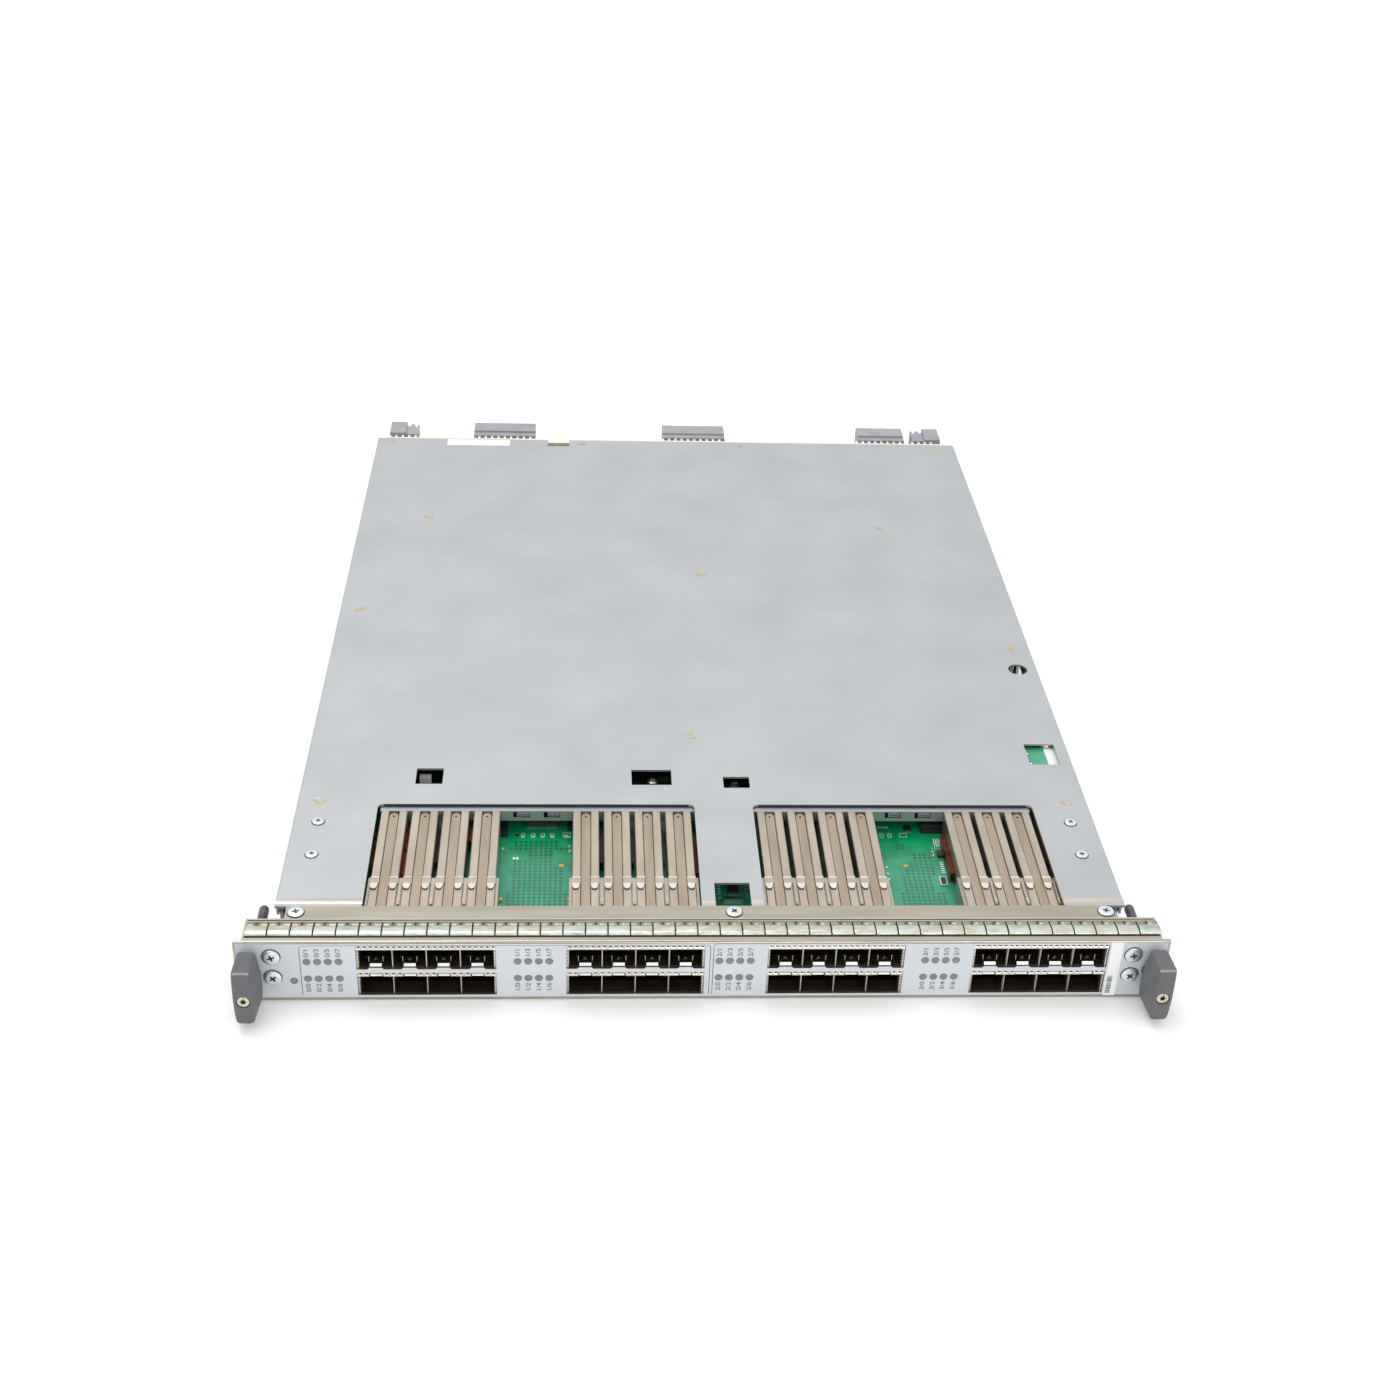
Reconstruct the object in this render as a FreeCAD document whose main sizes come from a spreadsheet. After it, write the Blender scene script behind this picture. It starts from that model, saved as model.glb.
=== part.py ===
import FreeCAD, Part
import os
import Sketcher

# Switch line card, millimetres. Seen from the front: X to the right, Y back from the faceplate's
# front face, Z up from the surface that the card lies on. Every sub-part is drawn in these card
# coordinates, or about its own bank or jackscrew axis, and its Placement moves it to the frame,
# whose origin is under the middle of the whole card.

SIZES = {
    # faceplate, one folded sheet
    "panel_width": 398, "panel_height": 31.75, "panel_wall": 1.5, "panel_bend": 1.2,
    "lip_inset": 3.5, "lip_depth": 16, "bottom_lip_depth": 14,
    "flange_inset": 19, "flange_depth": 9.8, "flange_drop": 1.2, "flange_corner": 5,
    # port banks: two left and two right of the middle, four columns by two rows of ports each
    "bank_pitch": 88.35, "pair_pitch": 173.9, "first_bank": -118.95,
    "port_pitch": 14.25, "port_width": 13.9, "port_height": 9.4, "port_floor": 2.5,
    "cage_wall": 0.3, "cage_depth": 48, "cage_front": 1.6, "cage_fit": 0.02,
    "collar_side": 0.9, "collar_top": 2.4, "collar_base": 0.55, "collar_thickness": 0.8,
    "collar_overlap": 0.4, "collar_gap_width": 6, "lower_window_top": 15.3,
    "tab_top": 5.4, "tab_base": 6.8, "tab_rise": 0.85,
    "latch_width": 5, "latch_thickness": 0.4, "latch_start": 1.7, "latch_length": 6, "latch_lift": 0.2,
    # pressed channels on the upper cages and the bar behind them
    "channel_width": 12.2, "channel_rise": 1.5, "channel_groove": 4.4, "channel_floor": 0.5,
    "channel_start": 4, "channel_end": 98, "channel_wall": 0.5, "channel_skirt": 8,
    "channel_tip": 3, "channel_hole": 1.1, "clip_length": 5, "clip_height": 0.4,
    "bar_depth": 5, "bar_height": 5.5, "bar_wall": 0.5, "bar_margin": 1.2,
    "bar_window": 7.7, "bar_window_height": 3.25, "bar_window_pitch": 14.2, "bar_window_rim": 0.1,
    # lamps
    "lamp_offset": 43.3, "lamp_pitch": 4.45, "lamp_upper": 21.4, "lamp_lower": 12.2,
    "lamp_bore": 3.3, "lamp_clearance": 0.05, "lamp_proud": 0.3, "lamp_reach": 9, "carrier_start": 2.5,
    "status_lamp_inset": 24.2, "status_lamp_z": 11.1, "lamp_carrier": 3, "lamp_rim": 2.2,
    # board
    "board_middle": 15.15, "board_thickness": 2.4, "board_inset": 7.3, "board_front": 6,
    "board_tail": 6.6, "board_hole": 3.4,
    # cover
    "cover_inset": 13.7, "cover_drop": 1.25, "cover_wall": 1, "cover_front": 30.1,
    "cover_rear": 501.4, "cover_skirt": 8, "cover_front_lip": 4, "cover_bend": 1,
    "cut_gap": 1.6, "cut_rear": 101.2, "cut_corner": 2.5,
    "notch_left": -77.3, "notch_right": -63.7, "notch_depth": 9.3,
    "round_window_inset": 10.5, "round_window_y": 223.7, "round_window": 10,
    # tray
    "tray_gap": 0.1, "tray_wall": 1.5, "tray_front": 14.1, "wall_front": 31.5,
    "vent_pitch": 18, "vent_count": 22, "vent_length": 12, "vent_height": 9, "vent_sill": 7,
    "vent_first": 100,
    # studs, posts and screws
    "stud_head": 5.4, "stud_body": 5, "stud_fit": 0.05, "spacer_body": 6,
    "side_stud_inset": 10.1, "post_inset": 4.5, "post_middle": 12.3, "post_y": 21.4, "post_body": 4.6,
    "flange_screw": 3, "flange_head": 7, "flange_head_height": 0.9,
    "panel_screw_inset": 15.5, "panel_screw_high": 24.4, "panel_screw_low": 13.2,
    "panel_screw": 4, "panel_head": 7.4, "panel_head_height": 2.1, "panel_screw_reach": 8,
    "cover_screw_inset": 11.5, "cover_screw_front": 62.5, "cover_screw_rear": 87.2,
    "cover_screw": 3, "cover_head": 5.6, "cover_head_height": 0.8, "screw_clearance": 0.15,
    # side brackets
    "bracket_wall": 1.5, "bracket_inset": 5.5, "bracket_rear": 95, "bracket_foot": 4,
    "bracket_top": 8,
    # knobs and jackscrews, about the jackscrew axis
    "knob_inset": 6.2, "knob_axis_z": 16.2, "knob_gap": 3.8, "knob_depth": 15.8,
    "knob_up": 15, "knob_down": 11.2, "knob_width": 7.8, "knob_belly": 10.2,
    "knob_corner": 1.4, "knob_foot_corner": 2.2, "knob_round": 1,
    "collar_diameter": 10.2, "collar_gap": 0.35, "head_recess": 0.4,
    "shaft": 4.4, "shaft_grip": 8, "shaft_reach": 43.1, "shoulder": 7, "shoulder_start": 9,
    "shoulder_length": 2, "tap_depth": 5.5, "knob_screw": 2.6, "knob_head": 5.6,
    "knob_head_height": 1.6, "bushing_outer": 7, "bushing_rim": 10, "bushing_length": 6,
    "bushing_rim_thickness": 1.2, "running_fit": 0.05,
    # printed film on the faceplate
    "film": 0.2, "film_margin": 1.2, "film_bottom": 2, "film_top": 31,
    # spring-finger gasket on the top lip
    "gasket_front": 3.6, "gasket_depth": 9.4, "gasket_rise": 1.5, "gasket_metal": 0.35,
    "finger_pitch": 9.53, "finger_count": 41, "finger_slot": 0.5, "gasket_foot": 2,
    # rear edge
    "connector_setback": 9.4, "connector_depth": 17.1, "connector_left_width": 39.6,
    "connector_middle_width": 40.6, "connector_right_width": 30.2,
    "connector_bottom": 4, "connector_top": 26.8, "connector_step": 5, "connector_drop": 1,
    "connector_left_x": -105.7, "connector_middle_x": 17.1, "connector_right_x": 140.6,
    "slot_pitch": 3.1, "slot_width": 1.5, "slot_depth": 6, "slot_margin": 3,
    "guide_width": 10.2, "guide_inset": 3.5, "guide_key": 8, "guide_bore": 5, "guide_lead": 3,
    "strip_overhang": 3, "strip_depth": 6, "strip_height": 12, "tooth_pitch": 4.1,
    "tooth_width": 1.4, "tooth_length": 3, "tooth_height": 1,
    # heat sinks
    "sink_x": 85, "sink_y": 285, "sink_width": 78, "sink_depth": 90, "package_height": 2.5,
    "sink_base": 2.5, "sink_top": 28.5, "fin_count": 16, "fin_wall": 1.2,
}

# Sizes that follow from others, so that what sits near an edge moves with that edge.
FOLLOWING = {
    "lip_width": "panel_width - 2 * lip_inset",
    "flange_width": "panel_width - 2 * flange_inset",
    "knob_spacing": "panel_width - 2 * knob_inset",
    "panel_screw_x": "panel_width / 2 - panel_screw_inset",
    "status_lamp_x": "status_lamp_inset - panel_width / 2",
    "post_x": "flange_width / 2 - post_inset",
    "cover_width": "panel_width - 2 * cover_inset",
    "cover_top": "panel_height - cover_drop",
    "round_window_x": "cover_width / 2 - round_window_inset",
    "side_stud_x": "cover_width / 2 - side_stud_inset",
    "cover_screw_x": "cover_width / 2 - cover_screw_inset",
    "bracket_web": "cover_width / 2 - bracket_inset",
    "board_width": "cover_width - 2 * board_inset",
    "board_rear": "cover_rear + board_tail",
    "connector_front": "board_rear + connector_setback",
    "guide_x": "board_width / 2 - guide_inset",
    "strip_width": "board_width + 2 * strip_overhang",
    "row_half": "1.5 * port_pitch + channel_width / 2 + cut_gap",
    "cut_one_left": "first_bank - row_half",
    "cut_one_right": "first_bank + bank_pitch + row_half",
    "cut_two_left": "first_bank + pair_pitch - row_half",
    "cut_two_right": "first_bank + pair_pitch + bank_pitch + row_half - port_pitch",
}

# Cover studs away from the side rows: plated clinch heads flush with the cover.
INNER_STUDS = [(-145.6, 391.5), (122.2, 383.1), (12.5, 324.2), (-0.4, 159), (-55.5, 495.3), (44, 495.3)]
SIDE_STUDS_LEFT = [103.5, 281.8, 495.3]
SIDE_STUDS_RIGHT = [103.5, 244.6, 495.3]
# Small rectangular windows in the cover: left, right, front and rear edge.
COVER_WINDOWS = [(-132.3, -119.6, 117.4, 130.2), (-30.4, -11.4, 117, 129.5), (13.2, 25.7, 114.8, 123.9),
                 (164.2, 179.2, 135.2, 153), (4.6, 20.2, 26, 42)]

DATUM = "(Sizes.connector_front + Sizes.connector_depth - Sizes.knob_gap - Sizes.knob_depth) / 2"
BOARD_TOP = "(Sizes.board_middle + Sizes.board_thickness / 2)"
BOARD_BOTTOM = "(Sizes.board_middle - Sizes.board_thickness / 2)"
COVER_UNDER = "(Sizes.cover_top - Sizes.cover_wall)"
CAGE_TOP = "(Sizes.board_middle + Sizes.port_floor + Sizes.port_height + Sizes.cage_wall)"

doc = FreeCAD.newDocument("line_card")
sheet = doc.addObject("Spreadsheet::Sheet", "Sizes")


def fill_sheet():
    """One row for each size, with its name as the alias; those that follow others are formulas."""
    places = [("cover_stud_%d_%s" % (number, axis), value)
              for number, point in enumerate(INNER_STUDS, 1) for axis, value in zip("xy", point)]
    places += [("left_stud_%d" % number, value) for number, value in enumerate(SIDE_STUDS_LEFT, 1)]
    places += [("right_stud_%d" % number, value) for number, value in enumerate(SIDE_STUDS_RIGHT, 1)]
    places += [("window_%d_%s" % (number, side), value)
               for number, window in enumerate(COVER_WINDOWS, 1)
               for side, value in zip(("left", "right", "front", "rear"), window)]
    places += [(name, "=" + text) for name, text in FOLLOWING.items()]
    for row, (name, value) in enumerate(list(SIZES.items()) + places, 1):
        sheet.set("A%d" % row, name)
        sheet.set("B%d" % row, str(value))
        sheet.setAlias("B%d" % row, name)
    doc.recompute()


def value_of(expression):
    """The number that an expression on the sheet gives now."""
    return float(sheet.evalExpression(expression))


def new_body(label, x="0", z="0"):
    """A body in card coordinates, or about a point at x and z on the faceplate's plane."""
    body = doc.addObject("PartDesign::Body", "Body_" + label)
    body.Label = label
    body.AllowCompound = True
    body.setExpression("Placement.Base.x", x)
    body.setExpression("Placement.Base.y", "-" + DATUM)
    body.setExpression("Placement.Base.z", z)
    return body


def new_sketch(body, role, offset="0"):
    """A sketch on one of the body's own planes, moved along that plane's normal."""
    sketch = body.newObject("Sketcher::SketchObject", "Sketch")
    plane = next(feature for feature in body.Origin.OriginFeatures if feature.Role == role)
    sketch.AttachmentSupport = [(plane, "")]
    sketch.MapMode = "FlatFace"
    sketch.setExpression("AttachmentOffset.Base.z", offset)
    return sketch


def bind_point(sketch, geometry, end, place):
    """Hold one end, or the centre, of a geometry at two expressions from the sketch's origin."""
    for kind, text in zip(("DistanceX", "DistanceY"), place):
        constraint = Sketcher.Constraint(kind, -1, 1, geometry, end, value_of(text))
        index = sketch.addConstraint(constraint)
        sketch.setExpression("Constraints[%d]" % index, text)


def outline(sketch, corners):
    """A closed outline of straight lines through corners given as pairs of expressions."""
    first = sketch.GeometryCount
    points = [FreeCAD.Vector(value_of(across), value_of(up), 0) for across, up in corners]
    for start, end in zip(points, points[1:] + points[:1]):
        sketch.addGeometry(Part.LineSegment(start, end), False)
    for index, corner in enumerate(corners):
        following = first + (index + 1) % len(corners)
        sketch.addConstraint(Sketcher.Constraint("Coincident", first + index, 2, following, 1))
        bind_point(sketch, first + index, 1, corner)


def rectangle(sketch, left, right, low, high):
    outline(sketch, [(left, low), (right, low), (right, high), (left, high)])


def circle(sketch, across, up, diameter):
    centre = FreeCAD.Vector(value_of(across), value_of(up), 0)
    radius = value_of(diameter) / 2
    index = sketch.addGeometry(Part.Circle(centre, FreeCAD.Vector(0, 0, 1), radius), False)
    bind_point(sketch, index, 3, (across, up))
    size = sketch.addConstraint(Sketcher.Constraint("Diameter", index, 2 * radius))
    sketch.setExpression("Constraints[%d]" % size, diameter)


def pad(body, sketch, length, both=False, backward=False):
    feature = body.newObject("PartDesign::Pad", "Pad")
    feature.Profile = sketch
    feature.setExpression("Length", length)
    feature.Midplane = both
    feature.Reversed = backward
    sketch.Visibility = False
    return feature


def pocket(body, sketch, length, both=False, backward=False):
    feature = body.newObject("PartDesign::Pocket", "Pocket")
    feature.Profile = sketch
    feature.setExpression("Length", length)
    feature.Midplane = both
    feature.Reversed = backward
    sketch.Visibility = False
    return feature


def front_sketch(body, start="0"):
    """A sketch that faces the viewer, at a distance behind the faceplate's front face."""
    return new_sketch(body, "XZ_Plane", "-(%s)" % start)


def plan_sketch(body, level="0"):
    """A sketch seen from above, at a level above the card's own surface."""
    return new_sketch(body, "XY_Plane", level)


def side_sketch(body, across="0"):
    """A sketch seen from the side: its own x runs back and its own y runs up."""
    return new_sketch(body, "YZ_Plane", across)


def row(body, feature, role, spacing, count):
    """Repeat a feature along one of the body's own axes."""
    pattern = body.newObject("PartDesign::LinearPattern", "Row")
    pattern.Originals = [feature]
    axis = next(item for item in body.Origin.OriginFeatures if item.Role == role)
    pattern.Direction = (axis, [""])
    pattern.Mode = "Spacing"
    pattern.setExpression("Offset", spacing)
    pattern.setExpression("Occurrences", count)
    body.Tip = pattern
    return pattern


def round_edges(body, radius, chosen):
    """Fillet the edges of the body's tip whose middle point passes a test."""
    doc.recompute()
    base = body.Tip
    names = ["Edge%d" % number for number, edge in enumerate(base.Shape.Edges, 1)
             if chosen(edge, edge.CenterOfMass)]
    if names:
        feature = body.newObject("PartDesign::Fillet", "Fillet")
        feature.Base = (base, names)
        feature.setExpression("Radius", radius)


def near(first, second, tolerance=0.02):
    return abs(first - second) < tolerance


def bank_places():
    """The four bank centres, from left to right."""
    pair = "Sizes.first_bank + %d * Sizes.pair_pitch + %d * Sizes.bank_pitch"
    return [pair % (outer, inner) for outer in (0, 1) for inner in (0, 1)]


def column_places(centre="0"):
    """The four port columns of a bank."""
    return ["(%s + (%s) * Sizes.port_pitch)" % (centre, step) for step in ("-1.5", "-0.5", "0.5", "1.5")]


def lamp_places(centre):
    """The eight lamps of a bank: four columns left of its ports, two rows."""
    middle = "%s - Sizes.lamp_offset" % centre
    return [("(%s + (%s) * Sizes.lamp_pitch)" % (middle, step), "Sizes.lamp_" + level)
            for level in ("upper", "lower") for step in ("-1.5", "-0.5", "0.5", "1.5")]


def port_windows(sketch, spare="0"):
    """Both windows of every bank; small tabs stand up under the ports of the upper row."""
    side = "(2 * Sizes.port_pitch + Sizes.collar_side + %s)" % spare
    upper_low = "Sizes.board_middle + Sizes.port_floor - Sizes.collar_base + 0.1 - %s" % spare
    upper_high = "%s + Sizes.collar_top + %s" % (CAGE_TOP, spare)
    lower_low = "2 * Sizes.board_middle - %s + 0.1 - %s" % (CAGE_TOP, spare)
    lower_high = "Sizes.lower_window_top + %s" % spare
    for bank in bank_places():
        corners = [("%s - %s" % (bank, side), upper_low)]
        for column in column_places(bank):
            for share, rise in (("-Sizes.tab_base / 2", "0"), ("-Sizes.tab_top / 2", "Sizes.tab_rise"),
                                ("Sizes.tab_top / 2", "Sizes.tab_rise"), ("Sizes.tab_base / 2", "0")):
                corners.append(("%s + (%s)" % (column, share), "%s + %s" % (upper_low, rise)))
        corners += [("%s + %s" % (bank, side), upper_low), ("%s + %s" % (bank, side), upper_high),
                    ("%s - %s" % (bank, side), upper_high)]
        outline(sketch, corners)
        rectangle(sketch, "%s - %s" % (bank, side), "%s + %s" % (bank, side), lower_low, lower_high)


def panel_screw_places():
    return [("%s * Sizes.panel_screw_x" % side, "Sizes.panel_screw_" + level)
            for side in ("-1", "1") for level in ("high", "low")]


def front_holes(sketch, spare="0"):
    """Lamp, screw and jackscrew holes through the front of the faceplate."""
    for bank in bank_places():
        for across, up in lamp_places(bank):
            circle(sketch, across, up, "Sizes.lamp_bore + 2 * %s" % spare)
    circle(sketch, "Sizes.status_lamp_x", "Sizes.status_lamp_z", "Sizes.lamp_bore + 2 * %s" % spare)
    for across, up in panel_screw_places():
        circle(sketch, across, up, "Sizes.panel_screw + 2 * Sizes.screw_clearance")
    for side in ("-0.5", "0.5"):
        circle(sketch, "%s * Sizes.knob_spacing" % side, "Sizes.knob_axis_z", "Sizes.bushing_outer")


def make_faceplate():
    """One folded sheet: front, top lip with a joggled flange behind it, and bottom lip."""
    body = new_body("faceplate")
    top, wall = "Sizes.panel_height", "Sizes.panel_wall"
    section = side_sketch(body)
    outline(section, [("0", "0"), ("Sizes.bottom_lip_depth", "0"), ("Sizes.bottom_lip_depth", wall),
                      (wall, wall),
                      (wall, "%s - %s" % (top, wall)), ("Sizes.lip_depth", "%s - %s" % (top, wall)),
                      ("Sizes.lip_depth", top), ("0", top)])
    pad(body, section, "Sizes.panel_width", both=True)
    flange = plan_sketch(body, "%s - Sizes.flange_drop" % top)
    half, rear = "Sizes.flange_width / 2", "Sizes.lip_depth + Sizes.flange_depth"
    outline(flange, [("-" + half, "Sizes.lip_depth - %s" % wall), (half, "Sizes.lip_depth - %s" % wall),
                     (half, "%s - Sizes.flange_corner" % rear), ("%s - Sizes.flange_corner" % half, rear),
                     ("-" + half, rear)])
    pad(body, flange, wall, backward=True)
    ends = plan_sketch(body)
    for side in ("-1", "1"):
        rectangle(ends, "%s * Sizes.panel_width" % side, "%s * Sizes.lip_width / 2" % side, wall,
                  "Sizes.lip_depth + Sizes.flange_depth + 1")
    pocket(body, ends, "Sizes.panel_height + 1", backward=True)
    windows = front_sketch(body)
    port_windows(windows)
    pocket(body, windows, wall)
    holes = front_sketch(body)
    front_holes(holes)
    pocket(body, holes, wall)
    screws = plan_sketch(body, top)
    for across in post_places():
        circle(screws, across, "Sizes.post_y", "Sizes.flange_screw + 2 * Sizes.screw_clearance")
    pocket(body, screws, "Sizes.flange_drop + 2 * %s" % wall)
    height = value_of(top)
    round_edges(body, "Sizes.panel_bend",
                lambda edge, middle: near(middle.y, 0) and (near(middle.z, 0) or near(middle.z, height))
                and edge.Length > value_of("Sizes.panel_width") * 0.9)
    return body


def make_film():
    """Printed film on the front, cut out round the windows and clear of the folded edges."""
    body = new_body("faceplate_film")
    sketch = front_sketch(body)
    half = "(Sizes.panel_width / 2 - Sizes.film_margin)"
    rectangle(sketch, "-" + half, half, "Sizes.film_bottom", "Sizes.film_top")
    pad(body, sketch, "Sizes.film")
    windows = front_sketch(body)
    port_windows(windows)
    pocket(body, windows, "Sizes.film + 0.1", backward=True)
    holes = front_sketch(body)
    front_holes(holes)
    pocket(body, holes, "Sizes.film + 0.1", backward=True)
    return body


def make_gasket():
    """Spring fingers of one strip: a foot along the back, and an arch over to the front edge."""
    body = new_body("emi_gasket")
    low = "Sizes.panel_height"
    front, rear = "Sizes.gasket_front", "(Sizes.gasket_front + Sizes.gasket_depth)"
    rise, metal = "Sizes.gasket_rise", "Sizes.gasket_metal"
    arch = [("0", "0"), ("0.12", "0.62"), ("0.32", "1"), ("0.55", "1"), ("0.75", "0.62"), ("0.9", "0")]
    back, lift = "%s + %%s * Sizes.gasket_depth" % front, "%s + %%s * (%s - %s)" % (low, rise, metal)
    outer = [(back % share, "%s + %s" % (lift % up, metal)) for share, up in arch]
    inner = [(back % share, lift % up) for share, up in arch[1:-1]]
    section = side_sketch(body)
    outline(section, outer + [(rear, "%s + %s" % (low, metal)), (rear, low),
                              ("%s - Sizes.gasket_foot" % rear, low)] + inner[::-1] + [(front, low)])
    pad(body, section, "Sizes.finger_pitch * Sizes.finger_count - Sizes.finger_slot", both=True)
    slot = plan_sketch(body, low)
    first = "(-Sizes.finger_pitch * (Sizes.finger_count / 2 - 1))"
    rectangle(slot, "%s - Sizes.finger_slot / 2" % first, "%s + Sizes.finger_slot / 2" % first,
              "%s - 1" % front, "%s - Sizes.gasket_foot" % rear)
    cut = pocket(body, slot, "2 * Sizes.gasket_rise", backward=True)
    row(body, cut, "X_Axis", "Sizes.finger_pitch", "Sizes.finger_count - 1")
    return body


def in_order(up, near_board, far_from_board):
    """Two levels as low and high, for a part above the board (up is "1") or below it ("-1")."""
    return (near_board, far_from_board) if up == "1" else (far_from_board, near_board)


def make_cage_bank(label, centre, up):
    """A ganged cage of stampings that press together: a contact frame round the mouth, a folded
    cover closed at the rear, a floor with a latch tongue for each port, and three dividers."""
    body = new_body(label, x=centre)
    side = "(2 * Sizes.port_pitch + Sizes.cage_wall / 2)"
    cell_side = "(1.5 * Sizes.port_pitch + Sizes.port_width / 2)"
    level = "(Sizes.board_middle + (%s) * (%%s))" % up
    foot = level % "Sizes.board_thickness / 2"
    floor = level % "Sizes.port_floor"
    ceiling = level % "Sizes.port_floor + Sizes.port_height"
    head = level % "Sizes.port_floor + Sizes.port_height + Sizes.cage_wall"
    make_contact_frame(body, up, cell_side, floor, ceiling)
    start = "Sizes.cage_front + Sizes.collar_thickness + Sizes.cage_fit"
    rear = "Sizes.cage_front + Sizes.cage_depth"
    inside = "%s - Sizes.cage_wall - Sizes.cage_fit - (%s)" % (rear, start)
    cover = front_sketch(body, start)
    outline(cover, [("-" + side, foot), ("-" + side, head), (side, head), (side, foot), (cell_side, foot),
                    (cell_side, ceiling), ("-" + cell_side, ceiling), ("-" + cell_side, foot)])
    pad(body, cover, "%s - (%s)" % (rear, start), backward=True)
    back = front_sketch(body, "%s - Sizes.cage_wall" % rear)
    rectangle(back, "-" + side, side, *in_order(up, foot, head))
    pad(body, back, "Sizes.cage_wall", backward=True)
    base = front_sketch(body, start)
    edge = "(%s - Sizes.cage_fit)" % cell_side
    rectangle(base, "-" + edge, edge, *in_order(up, foot, floor))
    pad(body, base, inside, backward=True)
    dividers = front_sketch(body, start)
    low = level % "Sizes.port_floor + Sizes.cage_fit"
    high = level % "Sizes.port_floor + Sizes.port_height - Sizes.cage_fit"
    half = "(Sizes.port_pitch - Sizes.port_width) / 2"
    for step in ("-1", "0", "1"):
        middle = "%s * Sizes.port_pitch" % step
        rectangle(dividers, "%s - %s" % (middle, half), "%s + %s" % (middle, half), *in_order(up, low, high))
    pad(body, dividers, inside, backward=True)
    near_face = level % "Sizes.port_floor + Sizes.latch_lift"
    far_face = level % "Sizes.port_floor + Sizes.latch_lift + Sizes.latch_thickness"
    tongues = front_sketch(body, "Sizes.latch_start")
    roots = front_sketch(body, "Sizes.latch_start + Sizes.latch_length - 1")
    for column in column_places():
        sides = ("%s - Sizes.latch_width / 2" % column, "%s + Sizes.latch_width / 2" % column)
        rectangle(tongues, *sides, *in_order(up, near_face, far_face))
        rectangle(roots, *sides, *in_order(up, floor, far_face))
    pad(body, tongues, "Sizes.latch_length", backward=True)
    pad(body, roots, "1", backward=True)
    return body


def make_contact_frame(body, up, cell_side, floor, ceiling):
    """Flat frame round a cage's mouth; below the lower ports it is cut away round each latch."""
    rim = "(2 * Sizes.port_pitch + Sizes.collar_side + Sizes.collar_overlap)"
    if up == "1":
        inner = "(Sizes.board_middle + Sizes.port_floor - Sizes.collar_base - Sizes.collar_overlap + 0.1)"
        outer = "(%s + Sizes.collar_top + Sizes.collar_overlap)" % CAGE_TOP
    else:
        inner = "(Sizes.lower_window_top + 0.1)"
        outer = "(%s - Sizes.cage_wall - 0.3)" % ceiling
    frame = front_sketch(body, "Sizes.cage_front")
    rectangle(frame, "-" + rim, rim, *in_order(up, inner, outer))
    pad(body, frame, "Sizes.collar_thickness", backward=True)
    mouth = front_sketch(body, "Sizes.cage_front")
    rectangle(mouth, "-" + cell_side, cell_side, *in_order(up, floor, ceiling))
    pocket(body, mouth, "Sizes.collar_thickness")
    if up == "-1":
        gaps = front_sketch(body, "Sizes.cage_front")
        half = "Sizes.collar_gap_width / 2"
        for column in column_places():
            rectangle(gaps, "%s - %s" % (column, half), "%s + %s" % (column, half),
                      "%s - 0.1" % floor, "%s - 0.5" % inner)
        pocket(body, gaps, "Sizes.collar_thickness")


def make_channel(label, centre):
    """A pressed channel: two raised bars, a sunk middle with a round end, and skirts behind the cage."""
    body = new_body(label, x=centre)
    half, groove = "Sizes.channel_width / 2", "Sizes.channel_groove / 2"
    low = CAGE_TOP
    high = "%s + Sizes.channel_rise" % low
    sunk = "%s + Sizes.channel_floor" % low
    bars = front_sketch(body, "Sizes.channel_start")
    outline(bars, [("-" + half, low), (half, low), (half, high), (groove, high), (groove, sunk),
                   ("-" + groove, sunk), ("-" + groove, high), ("-" + half, high)])
    pad(body, bars, "Sizes.channel_end - Sizes.channel_start", backward=True)
    skirts = front_sketch(body, "Sizes.cage_front + Sizes.cage_depth + 0.2")
    for side in ("-1", "1"):
        rectangle(skirts, "%s * %s" % (side, half), "%s * (%s - Sizes.channel_wall)" % (side, half),
                  "%s - Sizes.channel_skirt" % low, low)
    pad(body, skirts, "Sizes.channel_end - Sizes.cage_front - Sizes.cage_depth - 0.2", backward=True)
    end = plan_sketch(body, low)
    rectangle(end, "-" + groove, groove, "Sizes.channel_end - Sizes.channel_tip", "Sizes.channel_end + 1")
    circle(end, "0", "Sizes.channel_end - Sizes.channel_tip - Sizes.channel_groove / 2", "Sizes.channel_hole")
    pocket(body, end, "2 * Sizes.channel_rise", backward=True)
    clips = plan_sketch(body, high)
    for side in ("-1", "1"):
        rectangle(clips, "%s * %s" % (side, half), "%s * (%s + 0.4)" % (side, groove),
                  "Sizes.cage_depth - Sizes.clip_length", "Sizes.cage_depth")
    pad(body, clips, "Sizes.clip_height")
    return body


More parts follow.
